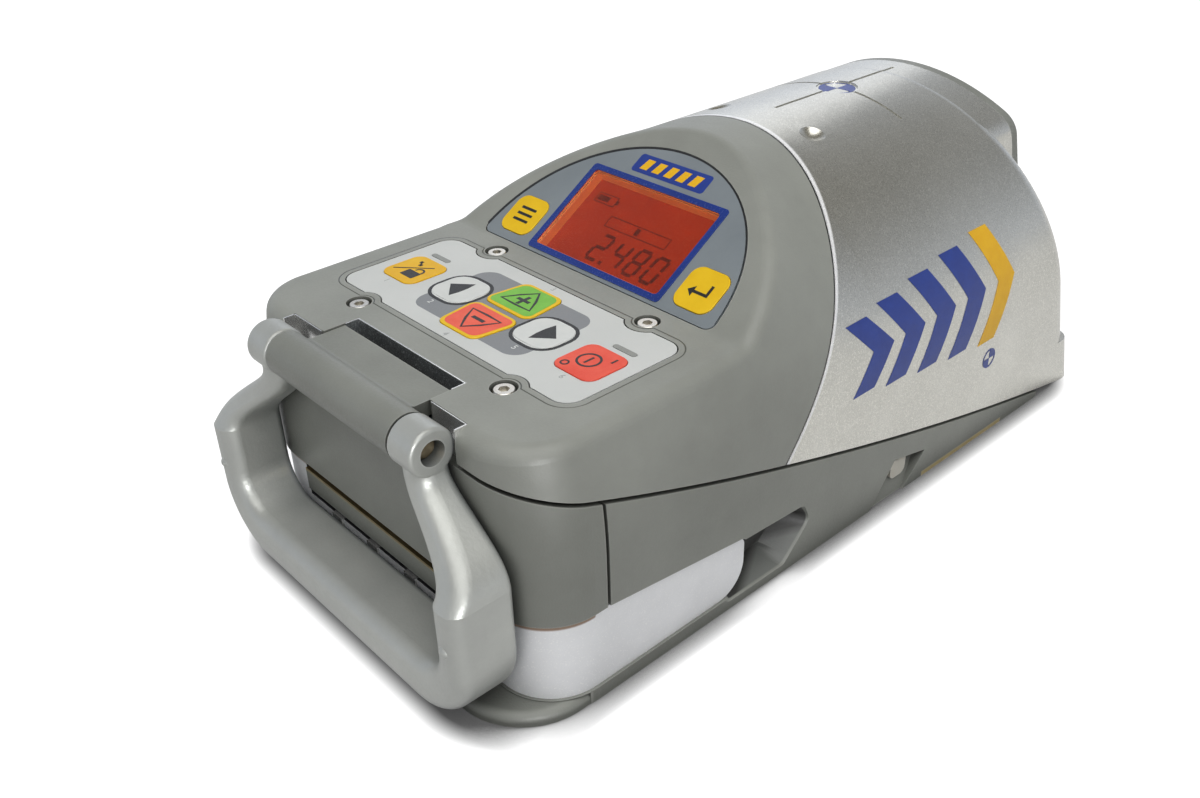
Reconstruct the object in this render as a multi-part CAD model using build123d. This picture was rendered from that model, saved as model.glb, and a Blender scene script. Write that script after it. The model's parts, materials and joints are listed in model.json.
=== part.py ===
from build123d import *
import os
from math import cos, hypot, radians, sin, sqrt, tan

# Pipe laser: a beam instrument that is set down in a pipe run to hold its line and grade.
# Millimetres. +Y is the beam direction, +X the user's right and +Z up.
# The origin is the mouth of the base thread, on the plumb axis under the target on the dome.

# Body envelope
HALF_WIDTH = 64.5           # half the body's width, and the radius of its dome
SPRING_Z = 40.1             # height at which the side walls turn into the dome
REAR_Y = -181.0             # rear wall
FOOT_FRONT_Y = 63.8         # front face at floor level
FRONT_RAKE = 18.7           # lean of the front face, degrees from upright
REAR_CORNER_R = 17.0
FRONT_EDGE_R = 8.0
FRONT_LIP = 1.4             # thicker foot of the front face
FRONT_LIP_Z = 17.5
FRONT_LIP_R = 6.0
WALL = 3.5
FLOOR = 4.0
FRONT_WALL = 5.0
ROUND_SECTION = 0.5523      # curve handle, as a share of the radius, that draws a true quarter circle
SQUARE_SECTION = 0.74       # curve handle of the squarer section round the key panel
BLEND_LEAD = 8.7            # behind the panel's crease the section starts to turn from square to round
BLEND_LENGTH = 62.0
BLEND_STEPS = 4

# Seams between the shells
SEAM_GAP = 1.2
SPLIT_GAP = 0.3
SPLIT_LEAN = 36.65          # lean of the joint between grey cover and silver housing
SPLIT_LEAD = 15.6           # behind the panel's crease that leaning plane meets floor level
CAP_JOINT_GAP = 1.0
CAP_DEPTH = 21.3            # of the battery cap, from the rear wall to its upright joint with the base
SEAM_REAR_Z = 57.7          # height of the base's upper edge at the cap joint
SEAM_MID_Y = -54.5
SEAM_MID_Z = 25.0
SEAM_FRONT_Y = 51.5
SEAM_FRONT_Z = 0.6
BASE_TIP_Y = 41.0           # the wedge of the base is cut off here
GASKET_INSET = 1.4

# Control panel
PANEL_Z = 75.0
PANEL_SETBACK = 19.5        # from the rear wall to the rear pair of cover screws
CREASE_OFFSET = 53.7        # from the rear screws to the foot of the display slope
DISPLAY_SLOPE = 32.2
CREASE_R = 6.0
CREST_R = 4.5
PANEL_THICKNESS = 4.5
SKIN = 1.2                  # thickness of the membrane and of the display plate
SKIN_GAP = 0.4
SCREW_HALF_SPACING = 31.4
SCREW_ROW_SPACING = 46.9
SCREW_HEAD_R = 2.75
SCREW_HEAD_H = 3.0
SCREW_SHANK_R = 1.5
SCREW_CLEARANCE = 0.1
COUNTERBORE_R = 3.5
SCREW_SINK = 0.4            # depth of the heads below the panel
SCREW_LENGTH = 12.0
SCREW_CHAMFER = 0.25
HEX_SOCKET = 2.5
HEX_DEPTH = 1.6
MEMBRANE_WIDTH = 97.0
MEMBRANE_DEPTH = 38.8
MEMBRANE_OFFSET = 23.9      # from the rear screws to the middle of the membrane
MEMBRANE_CORNER_R = 5.0
MEMBRANE_NOTCH_R = 6.2

# Keys
KEY_TRAVEL = 0.5
KEY_PROUD = 0.3
KEY_EDGE_R = 0.2            # softened upper edge of a key cap
KEY_GAP = 0.15
KEY_SINK = 1.0              # height of a key cap below the panel's surface
KEY_STEM_R = 2.5
KEY_RELIEF = 0.4            # room under a pressed cap
SIDE_KEY_SIZE = 14.4
SIDE_KEY_X = 37.2
SIDE_KEY_OFFSET = 22.2
SIDE_KEY_R = 3.2
ARROW_KEY_WIDTH = 14.4
ARROW_KEY_DEPTH = 13.4
ARROW_KEY_X = 17.7
ARROW_KEY_OFFSET = 23.8
ARROW_KEY_R = 4.5
STEP_KEY_WIDE = 9.6         # half-widths of the plus and minus keys, which taper away from each other
STEP_KEY_NARROW = 7.8
STEP_KEY_DEPTH = 14.5
STEP_KEY_PITCH = 16.3
STEP_KEY_R = 3.0
LIGHT_PIPE_LENGTH = 8.0
LIGHT_PIPE_WIDTH = 1.7
LIGHT_PIPE_X = 38.6
LIGHT_PIPE_OFFSET = 32.2

# Display
PLATE_MARGIN = 1.8          # of the half-round plate, outside the corners of its keys
PLATE_FOOT = 0.2            # along the slope, from its foot to the plate's straight edge
PLATE_CORNER_R = 2.5
BEZEL_WIDTH = 53.8
BEZEL_HEIGHT = 33.0
BEZEL_FOOT = 1.3            # along the slope, from its foot to the display's frame
BEZEL_BORDER = 1.9
BEZEL_LIP = 0.9
BEZEL_PROUD = 0.3
BEZEL_CORNER_R = 1.2
WINDOW_THICKNESS = 1.5
LCD_MARGIN = 2.0
LCD_THICKNESS = 4.0
SLOPE_KEY_SIZE = 13.2
SLOPE_KEY_GAP = 2.7         # from the display's frame to the keys beside it
SLOPE_KEY_RISE = 9.7
SLOPE_KEY_R = 3.5

# Nose
NOSE_HALF_WIDTH = 39.2
NOSE_FOOT_Z = 26.0
NOSE_CORNER_R = 9.0
NOSE_STEP = 7.5             # the silver part of the nose ahead of the raked front
NOSE_SINK = 0.15            # the nose lies this far under the dome's surface
BEZEL_RING_DEPTH = 3.8
BEZEL_RING_EDGE_R = 0.95
NOSE_WALL = 5.0
NOSE_SPIGOT = 6.0
APERTURE_MARGIN = 8.5
WINDOW_SEAT = 2.0
GLASS_THICKNESS = 3.0
SEAL_THICKNESS = 0.5
SEAL_WIDTH = 1.7
FIT_GAP = 0.1

# Marks cut into the dome
DIMPLE_X = 19.4
DIMPLE_Y = -34.8
DIMPLE_R = 3.8
DIMPLE_DEPTH = 1.6
TARGET_R = 6.6
TARGET_DEPTH = 0.6
GROOVE_WIDTH = 1.2
GROOVE_DEPTH = 0.5
GROOVE_LENGTH = 60.0
GROOVE_SPAN = 50.0

# Battery cap, cradle and latch
CAP_FOOT_Z = 27.6
PART_GAP = 0.4
CRADLE_INSET = 0.8
CRADLE_LENGTH = 49.2        # of the silver band ahead of the cap's joint
CRADLE_FRONT_Z = 21.0       # upper edge of the silver band at its front end
CRADLE_TOE_R = 9.5
CRADLE_NOSE_R = 2.5
CRADLE_FLOOR = 2.5
SLOT_HALF_WIDTH = 23.5
SLOT_FRONT_OFFSET = -5.0    # from the rear screws
TONGUE_FRONT_OFFSET = -9.5
TONGUE_THICKNESS = 4.0
BOSS_POCKET_DEPTH = 4.0
BOSS_POCKET_GAP = 1.0
COVER_REAR_WALL = 5.0       # of the cover, ahead of the boss pockets
LATCH_HALF_WIDTH = 41.5
LATCH_SETBACK = 0.2         # from the rear wall to the latch bar's face
LATCH_DEPTH = 2.0
LATCH_HEIGHT = 6.4
LATCH_TRAVEL = 2.0
LATCH_TOP_GAP = 3.0
LATCH_SIDE_GAP = 0.3
STRIP_HEIGHT = 0.8
SPRING_CLIP_WIDTH = 5.0
SPRING_CLIP_COUNT = 4
SPRING_CLIP_PITCH = 18.0
SPRING_CLIP_HEIGHT = 3.0

# Rear bumper
BUMPER_REACH = 9.5          # behind the rear wall
BUMPER_H = 3.7
BUMPER_SIDE_STEP = 0.3      # the bumper's sides lie this far inside those of the base
BUMPER_CORNER_R = 21.0
BUMPER_LENGTH = 26.5
BUMPER_WALL = 3.0           # thickness round the corners of the base
BUMPER_EDGE_R = 2.4

# Carry handle
PIN_REACH = 5.3             # from the rear wall back to the handle's pin
PIN_Z = 70.8
PIN_R = 3.2
PIN_RECESS = 3.2
PIN_CHAMFER = 0.6
PIN_FIT = 0.02
PIN_RUN = 0.08
BOSS_R = 6.25
BOSS_FACE_X = 37.1
BOSS_LENGTH = 9.4
BOSS_EDGE_R = 1.0
BOSS_SIDE_GAP = 0.4
LUG_R = 6.0
HANDLE_HALF_WIDTH = 57.5
HANDLE_THICKNESS = 10.0
HANDLE_GAP = 0.8            # between the rear wall and the edge nearest to it
HANDLE_BREADTH = 17.6       # of the ribbon, along Y
HANDLE_FOOT_Z = 4.3
HANDLE_BAR = 13.2           # height of the grip bar
HANDLE_KNEE_Z = 42.0        # the arms are upright below this
HANDLE_NECK_Z = 65.0        # and under the bosses above this
HANDLE_NECK = 9.0           # breadth of the neck, along Y
HANDLE_WAIST = 7.6          # thickness of an arm in the middle of its bend
HANDLE_CORNER_R = 20.0
HANDLE_EDGE_R = 4.4
HANDLE_FRONT_EDGE_R = 2.0   # along the edges next to the rear wall
SHOULDER_STEPS = 6
NUB_R = 1.8
NUB_SINK = 1.0
NUB_FRONT_Z = 27.4
NUB_REAR_Z = 30.6

# Scoops, leg recesses and feet
SCOOP_LAP = 8.0             # the scoop starts this far back behind the silver band
SCOOP_LENGTH = 27.0         # ahead of the band
SCOOP_REAR_Z = 21.2
SCOOP_FRONT_Z = 19.4
SCOOP_FOOT_Z = 2.6
SCOOP_DEPTH = 8.0
SCOOP_TAPER = 30.0
SCOOP_TOE = 10.5            # run and rise of the slanted lower front corner
SCOOP_NOSE = 2.9            # the upper front corner lies this far back from the front end
SCOOP_CORNER_R = 2.9
LEG_TOP_Y = -43.2
LEG_TOP_Z = 13.8
LEG_WIDTH = 16.0
LEG_LEAN = 14.0             # shift of the recess between its top and the floor
LEG_DROP = 3.8              # fall of its upper edge towards the front
LEG_DEPTH = 5.0             # at the top, from where the recess runs out to the floor
LEG_TOE_DEPTH = 0.8
BACKING = 4.0               # wall behind the scoops and recesses
STOP_WIDTH = 7.5
STOP_HEIGHT = 6.5
STOP_DEPTH = 3.8
STOP_R = 2.2
SKID_REAR_Y = -46.0
SKID_FRONT_Y = 18.0
SKID_WIDTH = 9.0
SKID_HEIGHT = 1.6

# Base fixings
THREAD_R = 3.4              # tapping size of the central M8 thread
THREAD_LENGTH = 10.0
INSERT_R = 6.5
LEG_THREAD_R = 2.5          # tapping size of the four M6 leg threads
LEG_THREAD_LENGTH = 7.0
LEG_INSERT_R = 4.5
LEG_HALF_SPACING_X = 48.0
LEG_REAR_Y = -72.0
LEG_FRONT_Y = 28.0
BASE_SCREW_X = 38.0
BASE_SCREW_REAR_INSET = 14.0
BASE_SCREW_FRONT_INSET = 10.0
BASE_SCREW_HEAD_R = 3.6
BASE_SCREW_HEAD_H = 2.4
BASE_SCREW_R = 2.0
BASE_SCREW_LENGTH = 7.6
BASE_SCREW_SINK = 0.5

# Beam mount inside
CHASSIS_HALF_WIDTH = 48.0
CHASSIS_GAP = 6.5           # from the battery drawer to the chassis
CHASSIS_FRONT_Y = 24.0
CHASSIS_PLATE = 4.0
CHASSIS_WALL = 3.0
CHASSIS_WALL_TOP = 50.0
BEAM_Z = 62.0
PIVOT_R = 5.0
PIVOT_FLANGE_R = 9.0
PIVOT_FLANGE = 3.0
RUN_GAP = 0.05
YOKE_HALF_WIDTH = 26.0
YOKE_PLATE = 5.0
YOKE_REAR_Y = -38.0
YOKE_FRONT_Y = 12.0
YOKE_ARM = 5.0
YOKE_ARM_HALF_DEPTH = 9.0
YOKE_TOP_RISE = 8.0
YOKE_ARM_R = 7.2
TRUNNION_R = 3.0
BARREL_R = 18.0
BARREL_REAR_Y = -66.0
BARREL_FRONT_Y = 38.0
BARREL_BORE_R = 14.0
BARREL_BORE_Y = 4.0
LENS_THICKNESS = 4.0
LENS_INSET = 1.0
MODULE_R = 9.0
MODULE_LENGTH = 30.0
MODULE_HEAD_R = 14.0
MODULE_HEAD = 6.0
SENSOR_LENGTH = 30.0
SENSOR_WIDTH = 16.0
SENSOR_HEIGHT = 9.0
SENSOR_FLAT = 2.0
SENSOR_R = 2.2
GRADE_ARM = 25.0            # from the pitch axis back to the grade plunger
GRADE_GAP = 1.1
GRADE_MOTOR_R = 11.0
GRADE_MOTOR_H = 11.0
GRADE_PLUNGER_R = 3.0
GRADE_TIP_R = 1.8
GRADE_PLUNGER_LENGTH = 23.0
LINE_ARM = 30.0             # from the plumb axis back to the line plunger
LINE_GAP = 0.5
LINE_TRAVEL = 3.2
LINE_MOTOR_LENGTH = 14.0
LINE_MOTOR_SIZE = 13.0
LINE_PLUNGER_LENGTH = 14.0
LINE_PLUNGER_R = 2.1
LINE_TIP_R = 1.2

# Boards and battery
BOARD_THICKNESS = 1.6
MAIN_BOARD_HALF_WIDTH = 40.0
MAIN_BOARD_TOP = 48.0
BRACKET_HALF_WIDTH = 42.0
BRACKET_PLATE = 3.0
BRACKET_DROP = 3.5          # from the panel's underside down to the plate
BRACKET_END = 5.0           # plate beyond the screw rows
KEY_BOARD_HALF_WIDTH = 45.0
KEY_BOARD_MARGIN = 6.5
CELL_EDGE_R = 1.1
CELL_TIP_R = 3.0
CELL_TIP = 1.5
CELL_GAP = 1.0
CELL_ROWS = 2
HOLDER_WALL = 2.0
HOLDER_HEIGHT = 22.0
HOLDER_SETBACK = 8.0        # from the rear wall to the battery holder
HOLDER_SIDE_GAP = 4.6       # inside the drawer's walls
HOLDER_FRONT_GAP = 3.5
CONTACT_THICKNESS = 0.5
CONTACT_WIDTH = 16.0

# Worked out from the sizes above
TOP_Z = SPRING_Z + HALF_WIDTH
REACH = 4 * HALF_WIDTH
PANEL_DATUM_Y = REAR_Y + PANEL_SETBACK
CREASE_Y = PANEL_DATUM_Y + CREASE_OFFSET
BLEND_REAR_Y = CREASE_Y - BLEND_LEAD
BLEND_FRONT_Y = BLEND_REAR_Y + BLEND_LENGTH
SPLIT_FOOT_Y = CREASE_Y - SPLIT_LEAD
CAP_JOINT_Y = REAR_Y + CAP_DEPTH
CRADLE_FRONT_Y = CAP_JOINT_Y + CRADLE_LENGTH
SCOOP_REAR_Y = CRADLE_FRONT_Y - SCOOP_LAP
SCOOP_FRONT_Y = CRADLE_FRONT_Y + SCOOP_LENGTH
CHASSIS_REAR_Y = CRADLE_FRONT_Y + CHASSIS_GAP
BASE_SCREW_REAR_Y = CHASSIS_REAR_Y + BASE_SCREW_REAR_INSET
BASE_SCREW_FRONT_Y = CHASSIS_FRONT_Y - BASE_SCREW_FRONT_INSET
BUMPER_Y = REAR_Y - BUMPER_REACH
PIN_Y = REAR_Y - PIN_REACH
HANDLE_FRONT_Y = REAR_Y - HANDLE_GAP
HOLDER_REAR_Y = REAR_Y + HOLDER_SETBACK
SLOPE = radians(DISPLAY_SLOPE)
RAKE = radians(FRONT_RAKE)
LEAN = radians(SPLIT_LEAN)
PANEL_UNDERSIDE = PANEL_Z - PANEL_THICKNESS
FRONT_PLANE = Plane((0, FOOT_FRONT_Y, 0), x_dir=(-1, 0, 0), z_dir=(0, cos(RAKE), sin(RAKE)))
SPLIT_PLANE = Plane((0, SPLIT_FOOT_Y, 0), x_dir=(1, 0, 0), z_dir=(0, cos(LEAN), -sin(LEAN)))
DISPLAY_PLANE = Plane((0, CREASE_Y, PANEL_Z), x_dir=(1, 0, 0), z_dir=(0, -sin(SLOPE), cos(SLOPE)))
PANEL_PLANE = Plane((0, PANEL_DATUM_Y, PANEL_Z))
LATCH_TOP = CAP_FOOT_Z - LATCH_TOP_GAP
LATCH_FOOT = LATCH_TOP - LATCH_HEIGHT
LATCH_WELL = LATCH_FOOT - LATCH_TRAVEL - LATCH_SIDE_GAP
LUG_HALF = BOSS_FACE_X - BOSS_LENGTH - BOSS_SIDE_GAP
BEZEL_RISE = BEZEL_FOOT + BEZEL_HEIGHT / 2
SLOPE_KEY_X = BEZEL_WIDTH / 2 + SLOPE_KEY_GAP + SLOPE_KEY_SIZE / 2
SLOPE_KEY_REACH = SLOPE_KEY_SIZE / 2 - SLOPE_KEY_R
SLOPE_KEY_CORNER = hypot(SLOPE_KEY_X + SLOPE_KEY_REACH, SLOPE_KEY_RISE + SLOPE_KEY_REACH) + SLOPE_KEY_R
PLATE_R = SLOPE_KEY_CORNER + PLATE_MARGIN
SCREW_PLACES = [
    (side * SCREW_HALF_SPACING, row) for side in (-1, 1) for row in (0, SCREW_ROW_SPACING)
]


def span(x0, x1, y0, y1, z0, z1):
    """A box between two corners."""
    middle = Pos((x0 + x1) / 2, (y0 + y1) / 2, (z0 + z1) / 2)
    return middle * Box(x1 - x0, y1 - y0, z1 - z0)


def across(*edges, half=REACH):
    """A side outline, drawn as (Y, Z), made solid across the body's width."""
    return extrude(Plane.YZ * make_face(list(edges)), half, both=True)


def rod(axis_plane, radius, length):
    """A cylinder that starts on a plane and runs along its normal."""
    return extrude(axis_plane * Circle(radius), length)


def tube(axis_plane, radius, bore, length):
    """A rod with a bore."""
    return rod(axis_plane, radius, length) - rod(axis_plane, bore, length)


def both_sides(shape):
    """A shape on the right of the body and its mirror image on the left."""
    return [shape, mirror(shape, Plane.YZ)]


def eased(share):
    """A share of a blend that starts and ends gently."""
    return share * share * (3 - 2 * share)


def along_x(x, y, z):
    return Plane((x, y, z), x_dir=(0, 1, 0), z_dir=(1, 0, 0))


def along_y(x, y, z):
    return Plane((x, y, z), x_dir=(-1, 0, 0), z_dir=(0, 1, 0))


# The body's envelope, from which every shell is cut


def dome_section(y, handle, half, floor):
    """The body's cross-section: upright walls under a domed top."""
    top = SPRING_Z + half
    walls = Polyline((-half, SPRING_Z), (-half, floor), (half, floor), (half, SPRING_Z))
    right = Bezier((half, SPRING_Z), (half, SPRING_Z + handle * half), (handle * half, top), (0, top))
    left = Bezier((0, top), (-handle * half, top), (-half, SPRING_Z + handle * half), (-half, SPRING_Z))
    return Plane.XZ.offset(-y) * make_face([*walls.edges(), right, left])


def outline_edges(face):
    """A cross-section's edges without the one on the floor."""
    return face.edges().sort_by(Axis.Z)[1:]


def section_run(start, end, handle, half=HALF_WIDTH, floor=0.0):
    return extrude(dome_section(start, handle, half, floor), end - start, dir=(0, 1, 0))


def ahead_of_front(offset):
    return extrude(FRONT_PLANE.offset(offset) * Rectangle(2 * REACH, 2 * REACH), REACH)


def ahead_of_split(offset):
    return extrude(SPLIT_PLANE.offset(offset) * Rectangle(2 * REACH, 2 * REACH), REACH)


def inset_body(inset, floor, corner_r, front):
    """The body drawn in by an even margin, with a round section all along."""
    run = section_run(REAR_Y + inset, FOOT_FRONT_Y, ROUND_SECTION, HALF_WIDTH - inset, floor)
    run = fillet(outline_edges(run.faces().sort_by(Axis.Y)[0]), corner_r)
    return run - ahead_of_front(-front)


def make_envelope():
    rear = section_run(REAR_Y, BLEND_REAR_Y, SQUARE_SECTION)
    rear = fillet(outline_edges(rear.faces().sort_by(Axis.Y)[0]), REAR_CORNER_R)
    sections = []
    for step in range(BLEND_STEPS + 1):
        share = step / BLEND_STEPS
        y = BLEND_REAR_Y + share * (BLEND_FRONT_Y - BLEND_REAR_Y)
        handle = SQUARE_SECTION + eased(share) * (ROUND_SECTION - SQUARE_SECTION)
        sections.append(dome_section(y, handle, HALF_WIDTH, 0.0))
    front = section_run(BLEND_FRONT_Y, FOOT_FRONT_Y, ROUND_SECTION) - ahead_of_front(0)
    raked = front.faces().sort_by(FRONT_PLANE.location.z_axis)[-1]
    front = fillet(outline_edges(raked), FRONT_EDGE_R)
    lip_end = FOOT_FRONT_Y + 2 * FRONT_LIP
    lip = section_run(BLEND_FRONT_Y, lip_end, ROUND_SECTION) - ahead_of_front(FRONT_LIP)
    lip &= span(-REACH, REACH, 0, REACH, 0, FRONT_LIP_Z)
    raked = lip.faces().sort_by(FRONT_PLANE.location.z_axis)[-1]
    front += fillet(raked.edges().sort_by(Axis.Z)[1:-1], FRONT_LIP_R)
    return rear + loft(sections) + front


def seam_circle():
    """Centre and radius of the long arc that the base's upper edge follows."""
    y1, z1 = CAP_JOINT_Y, SEAM_REAR_Z
    y2, z2 = SEAM_MID_Y, SEAM_MID_Z
    y3, z3 = SEAM_FRONT_Y, SEAM_FRONT_Z
    a, b = 2 * (y2 - y1), 2 * (z2 - z1)
    c, d = 2 * (y3 - y1), 2 * (z3 - z1)
    e = y2 * y2 + z2 * z2 - y1 * y1 - z1 * z1
    f = y3 * y3 + z3 * z3 - y1 * y1 - z1 * z1
    det = a * d - b * c
    y0, z0 = (e * d - b * f) / det, (a * f - e * c) / det
    return y0, z0, hypot(y1 - y0, z1 - z0)


SEAM_Y0, SEAM_Z0, SEAM_R = seam_circle()


def seam_z(y):
    return SEAM_Z0 - sqrt(SEAM_R * SEAM_R - (y - SEAM_Y0) ** 2)


def below_seam(shift):
    """Everything under the base's upper edge, moved up by a shift."""
    rear, front = REAR_Y - HALF_WIDTH, FOOT_FRONT_Y + HALF_WIDTH
    ends = [(y, seam_z(y) + shift) for y in (rear, SEAM_MID_Y, front)]
    arc = ThreePointArc(*ends)
    rest = Polyline(ends[2], (front, -REACH), (rear, -REACH), ends[0])
    return across(arc, *rest.edges())


def above_panel(depth):
    """Everything over the key panel and the display slope, sunk by a depth."""
    crease = CREASE_Y + depth * tan(SLOPE / 2)
    level = PANEL_Z - depth
    start = (REAR_Y - HALF_WIDTH, level)
    peak = (crease + REACH * cos(SLOPE), level + REACH * sin(SLOPE))
    line = FilletPolyline(start, (crease, level), peak, radius=CREASE_R)
    rest = Polyline(peak, (start[0], peak[1]), start)
    return across(*line.edges(), *rest.edges())


def make_cavity(panel_depth):
    inside = inset_body(WALL, FLOOR, REAR_CORNER_R - WALL, FRONT_WALL)
    return inside - above_panel(panel_depth)


# Outlines on the panel and on the display slope


def membrane_outline(margin):
    sheet = RectangleRounded(
        MEMBRANE_WIDTH + 2 * margin, MEMBRANE_DEPTH + 2 * margin, MEMBRANE_CORNER_R + margin
    )
    sheet = Pos(0, MEMBRANE_OFFSET) * sheet
    for place in SCREW_PLACES:
        sheet -= Pos(*place) * Circle(MEMBRANE_NOTCH_R - margin)
    return sheet


def side_key(side, margin):
    size = SIDE_KEY_SIZE + 2 * margin
    return Pos(side * SIDE_KEY_X, SIDE_KEY_OFFSET) * RectangleRounded(size, size, SIDE_KEY_R + margin)


def arrow_key(side, margin):
    width, depth = ARROW_KEY_WIDTH + 2 * margin, ARROW_KEY_DEPTH + 2 * margin
    shape = RectangleRounded(width, depth, ARROW_KEY_R + margin)
    return Pos(side * ARROW_KEY_X, ARROW_KEY_OFFSET) * shape


def step_key(side, margin):
    """Plus (side 1) and minus (side -1): shields that are widest where they face each other."""
    near = side * (STEP_KEY_PITCH - STEP_KEY_DEPTH) / 2 - side * margin
    far = side * (STEP_KEY_PITCH + STEP_KEY_DEPTH) / 2 + side * margin
    wide, narrow = STEP_KEY_WIDE + margin, STEP_KEY_NARROW + margin
    shape = make_face(Polyline((-wide, near), (wide, near), (narrow, far), (-narrow, far), close=True))
    shape = fillet(shape.vertices(), STEP_KEY_R + margin)
    return Pos(0, MEMBRANE_OFFSET) * shape


def slope_key(side, margin):
    size = SLOPE_KEY_SIZE + 2 * margin
    return Pos(side * SLOPE_KEY_X, SLOPE_KEY_RISE) * RectangleRounded(size, size, SLOPE_KEY_R + margin)


def light_pipe(side, margin):
    width, depth = LIGHT_PIPE_LENGTH + 2 * margin, LIGHT_PIPE_WIDTH + 2 * margin
    return Pos(side * LIGHT_PIPE_X, LIGHT_PIPE_OFFSET) * SlotOverall(width, depth)


def plate_outline(margin):
    disc = Circle(PLATE_R + margin)
    keep = Pos(0, PLATE_FOOT - margin + PLATE_R) * Rectangle(4 * PLATE_R, 2 * PLATE_R)
    plate = disc & keep
    return fillet(plate.vertices(), PLATE_CORNER_R + margin)


def display_rect(inset):
    width, height = BEZEL_WIDTH - 2 * inset, BEZEL_HEIGHT - 2 * inset
    return Pos(0, BEZEL_RISE) * RectangleRounded(width, height, BEZEL_CORNER_R)


KEYS = {
    "key_lock": (PANEL_PLANE, side_key, -1),
    "key_power": (PANEL_PLANE, side_key, 1),
    "key_left": (PANEL_PLANE, arrow_key, -1),
    "key_right": (PANEL_PLANE, arrow_key, 1),
    "key_plus": (PANEL_PLANE, step_key, 1),
    "key_minus": (PANEL_PLANE, step_key, -1),
    "key_menu": (DISPLAY_PLANE, slope_key, -1),
    "key_enter": (DISPLAY_PLANE, slope_key, 1),
}
PANEL_KEYS = [name for name in KEYS if KEYS[name][0] is PANEL_PLANE]
SLOPE_KEYS = [name for name in KEYS if KEYS[name][0] is DISPLAY_PLANE]


def key_outline(name, margin):
    outline, side = KEYS[name][1:]
    return outline(side, margin)


def key_centre(name):
    return key_outline(name, 0).center()


def make_key(name):
    """A key cap with the stem that reaches the switch under it."""
    plane = KEYS[name][0]
    cap = extrude(plane.offset(-KEY_SINK) * key_outline(name, 0), KEY_SINK + KEY_PROUD)
    cap = fillet(cap.faces().sort_by(plane.location.z_axis)[-1].edges(), KEY_EDGE_R)
    stem_top = plane.offset(-KEY_SINK) * Pos(key_centre(name))
    stem = extrude(stem_top * Circle(KEY_STEM_R), KEY_SINK - PANEL_THICKNESS - KEY_TRAVEL)
    return cap + stem


def key_room(name):
    """Space for a key in the skin and in the panel under it."""
    plane = KEYS[name][0]
    sink = KEY_SINK + KEY_TRAVEL + KEY_RELIEF
    well = extrude(plane.offset(-sink) * key_outline(name, KEY_GAP), sink + KEY_PROUD)
    hole = plane.offset(-REACH / 4) * Pos(key_centre(name)) * Circle(KEY_STEM_R + KEY_GAP)
    return well + extrude(hole, REACH / 4)


# Shells


def make_control_cover(envelope):
    domed = envelope - below_seam(SEAM_GAP / 2) - ahead_of_split(-SPLIT_GAP / 2)
    cut = above_panel(0)
    cover = domed - cut
    crest = new_edges(domed, cut, combined=cover).filter_by(Axis.X, reverse=True)
    cover = fillet(crest, CREST_R)
    rear_wall = REAR_Y + BOSS_POCKET_DEPTH + COVER_REAR_WALL
    cover -= make_cavity(PANEL_THICKNESS) - span(-REACH, REACH, REAR_Y, rear_wall, 0, TOP_Z)
    # slot for the cap's tongue, and the pockets beside it for the handle's bosses
    slot_front = PANEL_DATUM_Y + SLOT_FRONT_OFFSET
    cover -= span(-SLOT_HALF_WIDTH, SLOT_HALF_WIDTH, REAR_Y - WALL, slot_front, 0, TOP_Z)
    pocket_x = BOSS_FACE_X + BOSS_POCKET_GAP
    cover -= span(-pocket_x, pocket_x, REAR_Y - WALL, REAR_Y + BOSS_POCKET_DEPTH, 0, TOP_Z)
    # membrane, display and screw seats
    cover -= extrude(PANEL_PLANE.offset(-SKIN) * membrane_outline(SKIN_GAP), 2 * SKIN)
    cover -= extrude(DISPLAY_PLANE.offset(-SKIN) * plate_outline(SKIN_GAP), 2 * SKIN)
    opening = display_rect(BEZEL_LIP - FIT_GAP)
    cover -= extrude(DISPLAY_PLANE.offset(-2 * PANEL_THICKNESS) * opening, 4 * PANEL_THICKNESS)
    for name in KEYS:
        cover -= key_room(name)
    for side in (-1, 1):
        pipe = PANEL_PLANE.offset(-2 * PANEL_THICKNESS) * light_pipe(side, FIT_GAP)
        cover -= extrude(pipe, 3 * PANEL_THICKNESS)
    for x, row in SCREW_PLACES:
        seat = PANEL_PLANE.offset(-SCREW_SINK - SCREW_HEAD_H) * Pos(x, row)
        cover -= extrude(seat * Circle(COUNTERBORE_R), 2 * PANEL_THICKNESS)
        cover -= extrude(seat * Circle(SCREW_SHANK_R + SCREW_CLEARANCE), -PANEL_THICKNESS)
    return cover


def nose_outline(inset):
    """The dome's own curve between upright sides, with soft corners, drawn upright as (X, Z)."""
    half, foot = NOSE_HALF_WIDTH - inset, NOSE_FOOT_Z + inset
    disc = Pos(0, SPRING_Z) * Circle(HALF_WIDTH - NOSE_SINK - inset)
    tall = TOP_Z - foot
    shape = disc & (Pos(0, foot + tall / 2) * Rectangle(2 * half, tall))
    return fillet(shape.vertices(), NOSE_CORNER_R - inset / 2)


def nose_run(start, end, inset):
    """The nose's outline swept along the beam between two raked planes."""
    near, far = FOOT_FRONT_Y - 2 * HALF_WIDTH, FOOT_FRONT_Y + HALF_WIDTH
    run = extrude(Plane.XZ.offset(-near) * nose_outline(inset), far - near, dir=(0, 1, 0))
    return run & (ahead_of_front(start) - ahead_of_front(end))


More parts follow.
